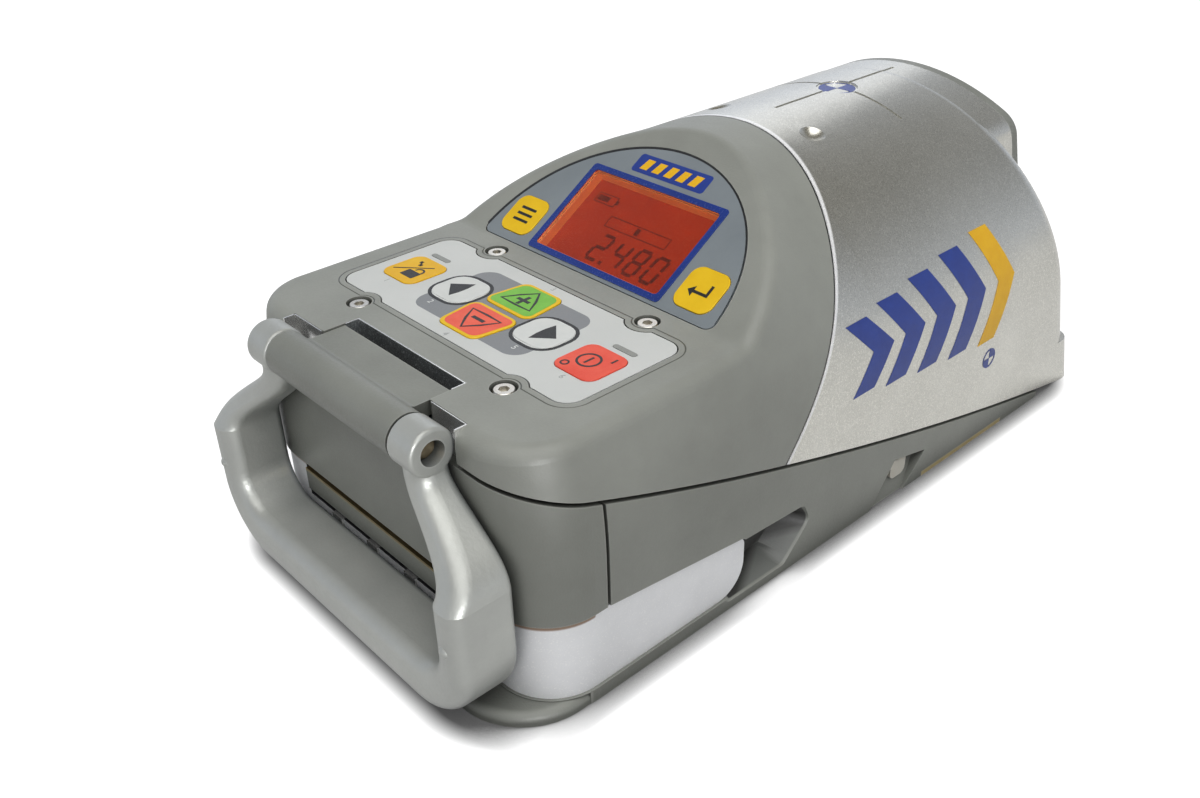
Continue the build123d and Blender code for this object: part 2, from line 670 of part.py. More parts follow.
def dome_cutters():
    """Shallow marks in the top: the target's dish, its cross lines and two dimples."""
    dish = rod(Plane((0, 0, TOP_Z - TARGET_DEPTH)), TARGET_R, WALL)
    half_groove = GROOVE_WIDTH / 2
    reach = GROOVE_LENGTH / 2
    line = span(-half_groove, half_groove, -reach, reach, TOP_Z - GROOVE_DEPTH, TOP_Z + WALL)
    arch = section_run(-half_groove, half_groove, ROUND_SECTION, HALF_WIDTH + WALL)
    arch -= section_run(-half_groove, half_groove, ROUND_SECTION, HALF_WIDTH - GROOVE_DEPTH)
    arch &= span(-GROOVE_SPAN / 2, GROOVE_SPAN / 2, -WALL, WALL, SPRING_Z, TOP_Z + WALL)
    ball_r = (DIMPLE_R * DIMPLE_R + DIMPLE_DEPTH * DIMPLE_DEPTH) / (2 * DIMPLE_DEPTH)
    dimple_z = SPRING_Z + sqrt(HALF_WIDTH**2 - DIMPLE_X**2) + ball_r - DIMPLE_DEPTH
    ball = Pos(DIMPLE_X, DIMPLE_Y, dimple_z) * Sphere(ball_r)
    return [dish, line, arch, *both_sides(ball)]


def make_front_housing(envelope):
    housing = envelope - below_seam(SEAM_GAP / 2)
    housing &= ahead_of_split(SPLIT_GAP / 2)
    housing += nose_run(-FRONT_EDGE_R, NOSE_STEP, 0)
    housing -= make_cavity(PANEL_THICKNESS)
    housing -= nose_run(-2 * FRONT_WALL, 2 * NOSE_STEP, NOSE_WALL - FIT_GAP)
    for cutter in dome_cutters():
        housing -= cutter
    return housing


def cradle_line(y):
    """Height of the silver band's upper edge, which falls towards the front."""
    top = CAP_FOOT_Z - PART_GAP
    share = max(0.0, (y - CAP_JOINT_Y) / (CRADLE_FRONT_Y - CAP_JOINT_Y))
    return top + share * (CRADLE_FRONT_Z - top)


def cradle_side(grow):
    """Side outline of the silver band, grown evenly to cut its pocket."""
    rear, front, foot = REAR_Y - REACH, CRADLE_FRONT_Y + grow, FLOOR - grow
    outline = make_face(Polyline(
        (rear, foot),
        (front, foot),
        (front, cradle_line(CRADLE_FRONT_Y) + grow),
        (CAP_JOINT_Y, cradle_line(CAP_JOINT_Y) + grow),
        (rear, cradle_line(CAP_JOINT_Y) + grow),
        close=True,
    ))
    nose = outline.vertices().group_by(Axis.X)[-1].sort_by(Axis.Y)[-1]
    outline = fillet(nose, CRADLE_NOSE_R + grow)
    toe = outline.vertices().group_by(Axis.X)[-1].sort_by(Axis.Y)[0]
    outline = fillet(toe, CRADLE_TOE_R + grow)
    return extrude(Plane.YZ * outline, REACH, both=True)


def make_battery_cradle():
    outer = inset_body(CRADLE_INSET, FLOOR, REAR_CORNER_R - CRADLE_INSET, 0)
    inner_inset = WALL + PART_GAP
    inner = inset_body(inner_inset, FLOOR + CRADLE_FLOOR, REAR_CORNER_R - inner_inset, 0)
    cradle = (outer - inner) & cradle_side(0)
    room = LATCH_HALF_WIDTH + LATCH_SIDE_GAP
    back = REAR_Y + CRADLE_INSET + LATCH_DEPTH
    cradle -= span(-room, room, REAR_Y, back, LATCH_WELL, CAP_FOOT_Z)
    for x in clip_places():
        half = SPRING_CLIP_WIDTH / 2 + FIT_GAP
        cradle -= span(x - half, x + half, REAR_Y, back, LATCH_WELL - SPRING_CLIP_HEIGHT, LATCH_FOOT)
    return cradle


def clip_places():
    first = -(SPRING_CLIP_COUNT - 1) * SPRING_CLIP_PITCH / 2
    return [first + SPRING_CLIP_PITCH * i for i in range(SPRING_CLIP_COUNT)]


def make_latch():
    """The latch bar, and the bright strip on top of it."""
    half, y0 = LATCH_HALF_WIDTH, REAR_Y + LATCH_SETBACK
    y1 = REAR_Y + CRADLE_INSET + LATCH_DEPTH - FIT_GAP
    bar = span(-half, half, y0, y1, LATCH_FOOT, LATCH_TOP)
    return bar, span(-half, half, y0, y1, LATCH_TOP, LATCH_TOP + STRIP_HEIGHT)


def make_latch_springs():
    """Bright spring clips under the latch bar, seated in the cradle's rear wall."""
    y0, y1 = REAR_Y + LATCH_SETBACK, REAR_Y + CRADLE_INSET + LATCH_DEPTH
    clips = []
    for x in clip_places():
        half = SPRING_CLIP_WIDTH / 2
        clips.append(span(x - half, x + half, y0, y1, LATCH_WELL - SPRING_CLIP_HEIGHT, LATCH_WELL))
    return Compound(clips)


def make_battery_cap(envelope):
    """The rear cap: a wall that wraps both corners, with the hinge lug on top of it."""
    cap = envelope & below_seam(-SEAM_GAP / 2)
    cap &= span(-REACH, REACH, REAR_Y - REACH, CAP_JOINT_Y - CAP_JOINT_GAP / 2, CAP_FOOT_Z, TOP_Z)
    cap -= inset_body(WALL, 0, REAR_CORNER_R - WALL, FRONT_WALL)
    barrel = rod(along_x(-LUG_HALF, PIN_Y, PIN_Z), LUG_R, 2 * LUG_HALF)
    tongue_front = PANEL_DATUM_Y + TONGUE_FRONT_OFFSET
    deck = Polyline(
        (PIN_Y, PIN_Z + LUG_R),
        (REAR_Y, PANEL_Z - PART_GAP),
        (tongue_front, PANEL_Z - PART_GAP),
        (tongue_front, PANEL_Z - PART_GAP - TONGUE_THICKNESS),
        (REAR_Y + WALL, PANEL_Z - PART_GAP - TONGUE_THICKNESS),
        (REAR_Y + WALL, CAP_FOOT_Z + WALL),
        (REAR_Y, CAP_FOOT_Z + WALL),
        (REAR_Y, PIN_Z - 2 * LUG_R),
        (PIN_Y, PIN_Z - LUG_R),
        close=True,
    )
    cap += barrel + across(*deck.edges(), half=SLOT_HALF_WIDTH - PART_GAP)
    return cap - rod(along_x(-REACH, PIN_Y, PIN_Z), PIN_R + PIN_FIT, 2 * REACH)


def bumper_block(grow):
    """A low block with round rear corners, grown evenly to cut its seat."""
    half = HALF_WIDTH - BUMPER_SIDE_STEP + grow
    length = BUMPER_LENGTH + 2 * grow
    plan = Pos(0, BUMPER_Y + BUMPER_LENGTH / 2) * Rectangle(2 * half, length)
    plan = fillet(plan.vertices().group_by(Axis.Y)[0], BUMPER_CORNER_R + grow)
    return extrude(plan, BUMPER_H + grow)


def bumper_core(inset):
    """The foot of the base, which the bumper is wrapped round."""
    return inset_body(inset, -FLOOR, REAR_CORNER_R - inset, 0)


def make_rear_bumper():
    """A low rounded lip that wraps the rear corners of the base."""
    lip = bumper_block(0)
    rim = lip.faces().sort_by(Axis.Z)[-1].edges().sort_by(Axis.Y)[:-1]
    return fillet(rim, BUMPER_EDGE_R) - bumper_core(BUMPER_WALL)


def side_backing(y0, y1, top, depth):
    """Material added inside both side walls, behind a scoop or a recess."""
    return both_sides(span(HALF_WIDTH - depth - BACKING, HALF_WIDTH, y0, y1, 0, top))


def scoop_cutters():
    """Finger scoops that run out from behind the silver band, on both sides."""
    points = (
        (SCOOP_REAR_Y, SCOOP_FOOT_Z),
        (SCOOP_FRONT_Y - SCOOP_TOE, SCOOP_FOOT_Z),
        (SCOOP_FRONT_Y, SCOOP_FOOT_Z + SCOOP_TOE),
        (SCOOP_FRONT_Y - SCOOP_NOSE, SCOOP_FRONT_Z),
        (SCOOP_REAR_Y, SCOOP_REAR_Z),
    )
    # the plane faces inwards, so its second axis points down
    inwards = Plane((HALF_WIDTH, 0, 0), x_dir=(0, 1, 0), z_dir=(-1, 0, 0))
    outline = make_face(Polyline(*[(y, -z) for y, z in points], close=True))
    outline = fillet(outline.vertices(), SCOOP_CORNER_R)
    return both_sides(extrude(inwards * outline, SCOOP_DEPTH, taper=SCOOP_TAPER))


def leg_cutters():
    """Slanted leg recesses in both sides, open at the floor."""
    outline = make_face(Polyline(
        (LEG_TOP_Y, LEG_TOP_Z),
        (LEG_TOP_Y + LEG_WIDTH, LEG_TOP_Z - LEG_DROP),
        (LEG_TOP_Y + LEG_WIDTH - LEG_LEAN, -FLOOR),
        (LEG_TOP_Y - LEG_LEAN, -FLOOR),
        close=True,
    ))
    inner = HALF_WIDTH - LEG_DEPTH
    toe = HALF_WIDTH - LEG_TOE_DEPTH
    outer = HALF_WIDTH + WALL
    ramp = make_face(Polyline(
        (inner, LEG_TOP_Z),
        (toe, 0),
        (toe, -FLOOR),
        (outer, -FLOOR),
        (outer, LEG_TOP_Z),
        close=True,
    ))
    recess = extrude(Plane.YZ.offset(inner) * outline, outer - inner)
    recess &= extrude(Plane.XZ * ramp, REACH, both=True)
    return both_sides(recess + stop_block(FIT_GAP))


def stop_block(grow):
    """The block at the top of a leg recess, grown evenly to cut its seat."""
    inner = HALF_WIDTH - LEG_DEPTH
    y0 = LEG_TOP_Y + FIT_GAP
    top = LEG_TOP_Z - LEG_DROP * STOP_WIDTH / LEG_WIDTH - FIT_GAP
    y1, foot = y0 + STOP_WIDTH, top - STOP_HEIGHT
    block = span(inner, inner + STOP_DEPTH + grow, y0 - grow, y1 + grow, foot - grow, top + grow)
    return fillet(block.edges().filter_by(Axis.X).group_by(Axis.Z)[0], STOP_R + grow)


def make_leg_stops():
    return Compound(both_sides(stop_block(0)))


def skid_strips():
    """Slide strips under both lower edges, ahead of the leg recesses."""
    inner = HALF_WIDTH - SKID_WIDTH
    strip = span(inner, HALF_WIDTH, SKID_REAR_Y, SKID_FRONT_Y, 0, SKID_HEIGHT)
    strip -= span(0, REACH, LEG_TOP_Y - LEG_LEAN - WALL, LEG_TOP_Y + LEG_WIDTH, 0, TOP_Z)
    return both_sides(strip)


def leg_thread_places():
    return [(s * LEG_HALF_SPACING_X, y) for s in (-1, 1) for y in (LEG_REAR_Y, LEG_FRONT_Y)]


def base_screw_places():
    return [(s * BASE_SCREW_X, y) for s in (-1, 1) for y in (BASE_SCREW_REAR_Y, BASE_SCREW_FRONT_Y)]


def make_base_tray(envelope):
    base = envelope & below_seam(-SEAM_GAP / 2)
    base &= span(-REACH, REACH, -REACH, BASE_TIP_Y, 0, TOP_Z)
    base -= make_cavity(PANEL_THICKNESS)
    legs_front = LEG_TOP_Y + LEG_WIDTH + WALL
    base += side_backing(CRADLE_FRONT_Y + PART_GAP, SCOOP_FRONT_Y + WALL, SCOOP_REAR_Z + WALL, SCOOP_DEPTH)
    base += side_backing(LEG_TOP_Y - LEG_LEAN - WALL, legs_front, LEG_TOP_Z + WALL / 2, LEG_DEPTH)
    for x, y in leg_thread_places():
        base += Pos(x, y) * extrude(Circle(LEG_INSERT_R + WALL), LEG_THREAD_LENGTH + WALL / 2)
    base &= below_seam(-SEAM_GAP / 2)
    # the battery bay is open to the rear, and the silver band shows through both sides
    base -= span(-REACH, REACH, REAR_Y - WALL, CAP_JOINT_Y + CAP_JOINT_GAP / 2, FLOOR, TOP_Z)
    base -= cradle_side(PART_GAP) - span(-REACH, REACH, -REACH, REACH, 0, FLOOR)
    base -= bumper_block(FIT_GAP) - bumper_core(BUMPER_WALL + FIT_GAP)
    for cutter in scoop_cutters() + leg_cutters():
        base -= cutter
    for strip in skid_strips():
        base -= strip
    base -= rod(Plane((0, 0, -FLOOR)), INSERT_R, 2 * THREAD_LENGTH)
    for x, y in leg_thread_places():
        base -= rod(Plane((x, y, -FLOOR)), LEG_INSERT_R, FLOOR + LEG_THREAD_LENGTH)
    for x, y in base_screw_places():
        base -= rod(Plane((x, y, -FLOOR)), BASE_SCREW_HEAD_R + FIT_GAP, FLOOR + BASE_SCREW_HEAD_H)
        base -= rod(Plane((x, y, 0)), BASE_SCREW_R + FIT_GAP, 2 * FLOOR)
    return base


def make_gasket():
    """Seal in the seam over the base, set back from the outside."""
    band = below_seam(SEAM_GAP / 2) - below_seam(-SEAM_GAP / 2)
    band &= inset_body(GASKET_INSET, 0, REAR_CORNER_R - GASKET_INSET, GASKET_INSET)
    band -= inset_body(WALL, -FLOOR, REAR_CORNER_R - WALL, FRONT_WALL)
    band &= span(-REACH, REACH, CAP_JOINT_Y + CAP_JOINT_GAP, BASE_TIP_Y - WALL, 0, TOP_Z)
    return band


# Handle


def grip_arch(half, foot, corner_r):
    """A block up to the knees with round lower corners, drawn upright as (X, Z)."""
    tall = HANDLE_KNEE_Z - foot
    block = Pos(0, foot + tall / 2) * Rectangle(2 * half, tall)
    return fillet(block.vertices().group_by(Axis.Y)[0], corner_r)


def make_grip():
    """The lower part of the handle: a square-set U with soft edges."""
    outer = grip_arch(HANDLE_HALF_WIDTH, HANDLE_FOOT_Z, HANDLE_CORNER_R)
    inner_r = HANDLE_CORNER_R - HANDLE_THICKNESS
    inner = grip_arch(HANDLE_HALF_WIDTH - HANDLE_THICKNESS, HANDLE_FOOT_Z + HANDLE_BAR, inner_r)
    rear = HANDLE_FRONT_Y - HANDLE_BREADTH
    grip = extrude(Plane.XZ.offset(-rear) * (outer - inner), HANDLE_BREADTH, dir=(0, 1, 0))
    for side, radius in ((0, HANDLE_EDGE_R), (-1, HANDLE_FRONT_EDGE_R)):
        # every edge of a flat side but the two at the knee, where the shoulders go on
        rim = grip.faces().sort_by(Axis.Y)[side].edges().sort_by(Axis.Z)[:-2]
        grip = fillet(rim, radius)
    return grip


def make_shoulder():
    """The right arm's bend from the grip in to the neck under the boss."""
    arm_x, boss_x = HANDLE_HALF_WIDTH - HANDLE_THICKNESS / 2, BOSS_FACE_X - BOSS_LENGTH / 2
    neck_front = PIN_Y + HANDLE_NECK / 2
    rise = HANDLE_NECK_Z - HANDLE_KNEE_Z
    sections = []
    for step in range(SHOULDER_STEPS + 1):
        share = step / SHOULDER_STEPS
        turn = eased(share)
        # the arm leans by the blend's own slope, so a level cut through it is that much wider
        lean = 6 * share * (1 - share) * (arm_x - boss_x) / rise
        thickness = HANDLE_THICKNESS + turn * (BOSS_LENGTH - HANDLE_THICKNESS)
        thickness += 4 * share * (1 - share) * (HANDLE_WAIST - thickness)
        # the ribbon narrows soon above the knee, on its rear side
        breadth = HANDLE_NECK + (1 - share) ** 2 * (HANDLE_BREADTH - HANDLE_NECK)
        front = HANDLE_FRONT_Y + turn * (neck_front - HANDLE_FRONT_Y)
        shape = Rectangle(thickness * hypot(1, lean), breadth)
        shape = fillet(shape.vertices().group_by(Axis.Y)[0], HANDLE_EDGE_R)
        shape = fillet(shape.vertices().group_by(Axis.Y)[-1], HANDLE_FRONT_EDGE_R)
        place = Pos(arm_x + turn * (boss_x - arm_x), front - breadth / 2)
        sections.append(Plane.XY.offset(HANDLE_KNEE_Z + share * rise) * place * shape)
    neck = extrude(sections[-1], PIN_Z - HANDLE_NECK_Z)
    return loft(sections) + neck


def make_handle():
    boss = rod(along_x(BOSS_FACE_X - BOSS_LENGTH, PIN_Y, PIN_Z), BOSS_R, BOSS_LENGTH)
    boss = fillet(boss.edges(), BOSS_EDGE_R)
    nub_x = HANDLE_HALF_WIDTH - HANDLE_THICKNESS / 2
    rear_nub = Pos(nub_x, HANDLE_FRONT_Y - HANDLE_BREADTH + NUB_SINK, NUB_REAR_Z) * Sphere(NUB_R)
    front_nub = Pos(nub_x, HANDLE_FRONT_Y - NUB_SINK, NUB_FRONT_Z) * Sphere(NUB_R)
    handle = make_grip()
    for piece in (make_shoulder(), boss, rear_nub, front_nub):
        handle += both_sides(piece)
    handle -= rod(along_x(-REACH, PIN_Y, PIN_Z), PIN_R + PIN_RUN, 2 * REACH)
    room = LUG_HALF + BOSS_SIDE_GAP
    return handle - rod(along_x(-room, PIN_Y, PIN_Z), 2 * LUG_R, 2 * room)


def make_hinge_pin():
    half = BOSS_FACE_X - PIN_RECESS
    pin = rod(along_x(-half, PIN_Y, PIN_Z), PIN_R, 2 * half)
    return chamfer(pin.edges(), PIN_CHAMFER)


# Panel pieces


def make_membrane():
    sheet = extrude(PANEL_PLANE.offset(-SKIN) * membrane_outline(0), SKIN)
    for name in PANEL_KEYS:
        sheet -= extrude(PANEL_PLANE.offset(-2 * SKIN) * key_outline(name, KEY_GAP), 4 * SKIN)
    for side in (-1, 1):
        sheet -= extrude(PANEL_PLANE.offset(-2 * SKIN) * light_pipe(side, FIT_GAP), 4 * SKIN)
    return sheet


def make_light_pipes():
    pipes = []
    for side in (-1, 1):
        foot = PANEL_PLANE.offset(-PANEL_THICKNESS) * light_pipe(side, 0)
        pipes.append(extrude(foot, PANEL_THICKNESS + FIT_GAP))
    return Compound(pipes)


def make_display_plate():
    plate = extrude(DISPLAY_PLANE.offset(-SKIN) * plate_outline(0), SKIN)
    plate -= extrude(DISPLAY_PLANE.offset(-2 * SKIN) * display_rect(BEZEL_LIP - FIT_GAP), 4 * SKIN)
    for name in SLOPE_KEYS:
        plate -= extrude(DISPLAY_PLANE.offset(-2 * SKIN) * key_outline(name, KEY_GAP), 4 * SKIN)
    return plate


def make_display_bezel():
    """Frame with a thin lip on the plate and walls that reach down to the display."""
    lip = extrude(DISPLAY_PLANE * display_rect(0), BEZEL_PROUD)
    walls = extrude(DISPLAY_PLANE.offset(-PANEL_THICKNESS) * display_rect(BEZEL_LIP), PANEL_THICKNESS)
    opening = DISPLAY_PLANE.offset(-2 * PANEL_THICKNESS) * display_rect(BEZEL_BORDER)
    return lip + walls - extrude(opening, 4 * PANEL_THICKNESS)


def make_display_window():
    shape = DISPLAY_PLANE.offset(-WINDOW_THICKNESS) * display_rect(BEZEL_BORDER + FIT_GAP / 2)
    return extrude(shape, WINDOW_THICKNESS)


def make_lcd():
    shape = DISPLAY_PLANE.offset(-PANEL_THICKNESS - LCD_THICKNESS) * display_rect(-LCD_MARGIN)
    return extrude(shape, LCD_THICKNESS)


def cover_screw(place):
    top = PANEL_PLANE.offset(-SCREW_SINK)
    head = extrude(top * Pos(*place) * Circle(SCREW_HEAD_R), -SCREW_HEAD_H)
    head = chamfer(head.edges().sort_by(Axis.Z)[-1], SCREW_CHAMFER)
    socket = RegularPolygon(HEX_SOCKET / 2, 6, major_radius=False)
    head -= extrude(top * Pos(*place) * socket, -HEX_DEPTH)
    shank = top.offset(-SCREW_HEAD_H) * Pos(*place) * Circle(SCREW_SHANK_R)
    return head + extrude(shank, -SCREW_LENGTH)


def make_cover_screws():
    return Compound([cover_screw(place) for place in SCREW_PLACES])


def make_panel_bracket():
    """Plate under the key panel that the cover screws pull against."""
    top = PANEL_UNDERSIDE - BRACKET_DROP
    y0 = PANEL_DATUM_Y - BRACKET_END
    y1 = PANEL_DATUM_Y + SCREW_ROW_SPACING + BRACKET_END
    plate = span(-BRACKET_HALF_WIDTH, BRACKET_HALF_WIDTH, y0, y1, top - BRACKET_PLATE, top)
    for x, row in SCREW_PLACES:
        plate += Pos(x, PANEL_DATUM_Y + row, top) * extrude(Circle(COUNTERBORE_R), BRACKET_DROP)
    for x, row in SCREW_PLACES:
        hole = Pos(x, PANEL_DATUM_Y + row, 0) * Circle(SCREW_SHANK_R + SCREW_CLEARANCE)
        plate -= extrude(hole, TOP_Z)
    return plate


def make_key_board():
    """Switch board on the bracket, under the stems of the keys."""
    low = PANEL_UNDERSIDE - BRACKET_DROP
    y0 = PANEL_DATUM_Y + KEY_BOARD_MARGIN
    y1 = PANEL_DATUM_Y + SCREW_ROW_SPACING - KEY_BOARD_MARGIN
    return span(-KEY_BOARD_HALF_WIDTH, KEY_BOARD_HALF_WIDTH, y0, y1, low, low + BOARD_THICKNESS)


# Nose pieces


def make_nose_bezel():
    """Ring that closes the nose: a flange in front and a spigot inside, with a step for the glass."""
    front = NOSE_STEP + BEZEL_RING_DEPTH
    flange = nose_run(NOSE_STEP, front, 0)
    rim = flange.faces().sort_by(FRONT_PLANE.location.z_axis)[-1]
    flange = fillet(rim.edges(), BEZEL_RING_EDGE_R)
    ring = flange + nose_run(NOSE_STEP - NOSE_SPIGOT, NOSE_STEP, NOSE_WALL)
    ring -= nose_run(NOSE_STEP - 2 * NOSE_SPIGOT, 2 * front, APERTURE_MARGIN)
    return ring - nose_run(NOSE_STEP - 2 * NOSE_SPIGOT, NOSE_STEP, APERTURE_MARGIN - WINDOW_SEAT)


def make_front_window():
    inset = APERTURE_MARGIN - WINDOW_SEAT + FIT_GAP
    front = NOSE_STEP - SEAL_THICKNESS
    return nose_run(front - GLASS_THICKNESS, front, inset)


def window_ring(rear, front):
    inset = APERTURE_MARGIN - WINDOW_SEAT + FIT_GAP
    return nose_run(rear, front, inset) - nose_run(rear, front, inset + SEAL_WIDTH)


def make_window_seal():
    return window_ring(NOSE_STEP - SEAL_THICKNESS, NOSE_STEP)


def make_window_retainer():
    used = SEAL_THICKNESS + GLASS_THICKNESS
    return window_ring(NOSE_STEP - NOSE_SPIGOT, NOSE_STEP - used)


# Base fixings


def make_base_insert():
    return tube(Plane.XY, INSERT_R, THREAD_R, THREAD_LENGTH)


def make_leg_inserts():
    places = [Plane((x, y, 0)) for x, y in leg_thread_places()]
    return Compound([tube(place, LEG_INSERT_R, LEG_THREAD_R, LEG_THREAD_LENGTH) for place in places])


def base_screw(x, y):
    foot = Plane((x, y, BASE_SCREW_SINK))
    head = rod(foot, BASE_SCREW_HEAD_R, BASE_SCREW_HEAD_H - BASE_SCREW_SINK)
    head -= extrude(foot * RegularPolygon(HEX_SOCKET / 2, 6, major_radius=False), HEX_DEPTH)
    seat = Plane((x, y, BASE_SCREW_HEAD_H))
    return head + rod(seat, BASE_SCREW_R, BASE_SCREW_LENGTH - BASE_SCREW_HEAD_H)


def make_base_screws():
    return Compound([base_screw(x, y) for x, y in base_screw_places()])


# Beam mount

CHASSIS_TOP = FLOOR + CHASSIS_PLATE
YOKE_Z = CHASSIS_TOP + PIVOT_FLANGE


def make_chassis():
    w = CHASSIS_HALF_WIDTH
    plate = span(-w, w, CHASSIS_REAR_Y, CHASSIS_FRONT_Y, FLOOR, CHASSIS_TOP)
    plate += span(-w, w, CHASSIS_REAR_Y, CHASSIS_REAR_Y + CHASSIS_WALL, FLOOR, CHASSIS_WALL_TOP)
    plate -= rod(Plane((0, 0, 0)), INSERT_R + FIT_GAP, THREAD_LENGTH + FIT_GAP)
    for x, y in base_screw_places():
        plate -= rod(Plane((x, y, 0)), BASE_SCREW_R + FIT_GAP / 2, 2 * CHASSIS_TOP)
    for x, y in leg_thread_places():
        plate -= rod(Plane((x, y, 0)), LEG_INSERT_R + WALL + FIT_GAP, THREAD_LENGTH + WALL)
    return plate


def make_line_pivot():
    """Post on the chassis that the yoke turns on, with a flange to carry it."""
    low = max(CHASSIS_TOP, THREAD_LENGTH + FIT_GAP)
    ring = rod(Plane((0, 0, CHASSIS_TOP)), PIVOT_FLANGE_R, YOKE_Z - CHASSIS_TOP)
    ring -= rod(Plane((0, 0, 0)), INSERT_R + FIT_GAP, low)
    return ring + rod(Plane((0, 0, low)), PIVOT_R, YOKE_Z + YOKE_PLATE - low)


def make_line_yoke():
    w, low = YOKE_HALF_WIDTH, YOKE_Z + RUN_GAP
    top = YOKE_Z + YOKE_PLATE
    yoke = span(-w, w, YOKE_REAR_Y, YOKE_FRONT_Y, low, top)
    arm_top = BEAM_Z + YOKE_TOP_RISE
    half = YOKE_ARM_HALF_DEPTH
    arm = span(w - YOKE_ARM, w, -half, half, low, arm_top)
    yoke += both_sides(fillet(arm.edges().filter_by(Axis.X).group_by(Axis.Z)[-1], YOKE_ARM_R))
    yoke -= rod(Plane((0, 0, 0)), PIVOT_R + RUN_GAP, arm_top)
    yoke -= rod(Plane((0, -GRADE_ARM, 0)), GRADE_PLUNGER_R + 2 * RUN_GAP, arm_top)
    return yoke - rod(along_x(-REACH, 0, BEAM_Z), TRUNNION_R + RUN_GAP, 2 * REACH)


def make_trunnions():
    start = BARREL_R - WALL
    pin = rod(along_x(start, 0, BEAM_Z), TRUNNION_R, YOKE_HALF_WIDTH + RUN_GAP - start)
    return Compound(both_sides(pin))


def make_barrel():
    length = BARREL_FRONT_Y - BARREL_REAR_Y
    barrel = rod(along_y(0, BARREL_REAR_Y, BEAM_Z), BARREL_R, length)
    barrel -= rod(along_y(0, BARREL_BORE_Y, BEAM_Z), BARREL_BORE_R, length)
    barrel -= rod(along_y(0, BARREL_REAR_Y, BEAM_Z), MODULE_R, MODULE_LENGTH)
    barrel -= rod(along_y(0, BARREL_REAR_Y, BEAM_Z), TRUNNION_R, length)
    for socket in both_sides(rod(along_x(BARREL_R - WALL, 0, BEAM_Z), TRUNNION_R, WALL)):
        barrel -= socket
    flat = BEAM_Z + BARREL_R - SENSOR_FLAT
    y0 = BARREL_REAR_Y + MODULE_HEAD
    return barrel - span(-REACH, REACH, y0, y0 + SENSOR_LENGTH, flat, TOP_Z)


def make_level_sensor():
    flat = BEAM_Z + BARREL_R - SENSOR_FLAT
    y0 = BARREL_REAR_Y + MODULE_HEAD
    half = SENSOR_WIDTH / 2
    block = span(-half, half, y0, y0 + SENSOR_LENGTH, flat, flat + SENSOR_HEIGHT)
    return fillet(block.edges().filter_by(Axis.Z), SENSOR_R)


def make_laser_module():
    body = rod(along_y(0, BARREL_REAR_Y, BEAM_Z), MODULE_R - FIT_GAP / 2, MODULE_LENGTH)
    return body + rod(along_y(0, BARREL_REAR_Y - MODULE_HEAD, BEAM_Z), MODULE_HEAD_R, MODULE_HEAD)


def make_lens():
    start = BARREL_FRONT_Y - LENS_INSET - LENS_THICKNESS
    return rod(along_y(0, start, BEAM_Z), BARREL_BORE_R - RUN_GAP, LENS_THICKNESS)


def make_grade_drive():
    base = YOKE_Z + YOKE_PLATE
    centre = Plane((0, -GRADE_ARM, base))
    motor = tube(centre, GRADE_MOTOR_R, GRADE_PLUNGER_R + RUN_GAP, GRADE_MOTOR_H)
    foot = Plane((0, -GRADE_ARM, BEAM_Z - BARREL_R - GRADE_GAP - GRADE_PLUNGER_LENGTH))
    plunger = rod(foot, GRADE_PLUNGER_R, GRADE_PLUNGER_LENGTH)
    return motor, fillet(plunger.edges().sort_by(Axis.Z)[-1], GRADE_TIP_R)


def make_line_drive():
    z = YOKE_Z + YOKE_PLATE / 2
    near = -(YOKE_HALF_WIDTH + LINE_GAP + LINE_TRAVEL + WALL)
    half = LINE_MOTOR_SIZE / 2
    far = near - LINE_MOTOR_LENGTH
    motor = span(far, near, -LINE_ARM - half, -LINE_ARM + half, CHASSIS_TOP, z + half)
    motor -= rod(along_x(far, -LINE_ARM, z), LINE_PLUNGER_R + RUN_GAP, LINE_MOTOR_LENGTH)
    foot = -(YOKE_HALF_WIDTH + LINE_GAP) - LINE_PLUNGER_LENGTH
    plunger = rod(along_x(foot, -LINE_ARM, z), LINE_PLUNGER_R, LINE_PLUNGER_LENGTH)
    return motor, fillet(plunger.edges().sort_by(Axis.X)[-1], LINE_TIP_R)


# Boards and battery


def make_main_board():
    w = MAIN_BOARD_HALF_WIDTH
    y = CHASSIS_REAR_Y
    return span(-w, w, y - BOARD_THICKNESS, y, CHASSIS_TOP, MAIN_BOARD_TOP)


HOLDER_FLOOR = FLOOR + CRADLE_FLOOR
HOLDER_HALF = HALF_WIDTH - WALL - PART_GAP - HOLDER_SIDE_GAP
CELL_LENGTH = HOLDER_HALF - HOLDER_WALL - CONTACT_THICKNESS - CELL_TIP - 2 * CELL_GAP
HOLDER_LENGTH = CRADLE_FRONT_Y - HOLDER_FRONT_GAP - HOLDER_REAR_Y
CELL_R = (HOLDER_LENGTH - 2 * HOLDER_WALL - CELL_GAP * (CELL_ROWS + 1)) / (2 * CELL_ROWS)


def make_battery_holder():
    w, y0 = HOLDER_HALF, HOLDER_REAR_Y
    tray = span(-w, w, y0, y0 + HOLDER_LENGTH, HOLDER_FLOOR, HOLDER_FLOOR + HOLDER_HEIGHT)
    t = HOLDER_WALL
    return tray - span(-w + t, w - t, y0 + t, y0 + HOLDER_LENGTH - t, HOLDER_FLOOR + t, TOP_Z)


def cell_rows():
    first = HOLDER_REAR_Y + HOLDER_WALL + CELL_GAP + CELL_R
    return [first + row * (2 * CELL_R + CELL_GAP) for row in range(CELL_ROWS)]


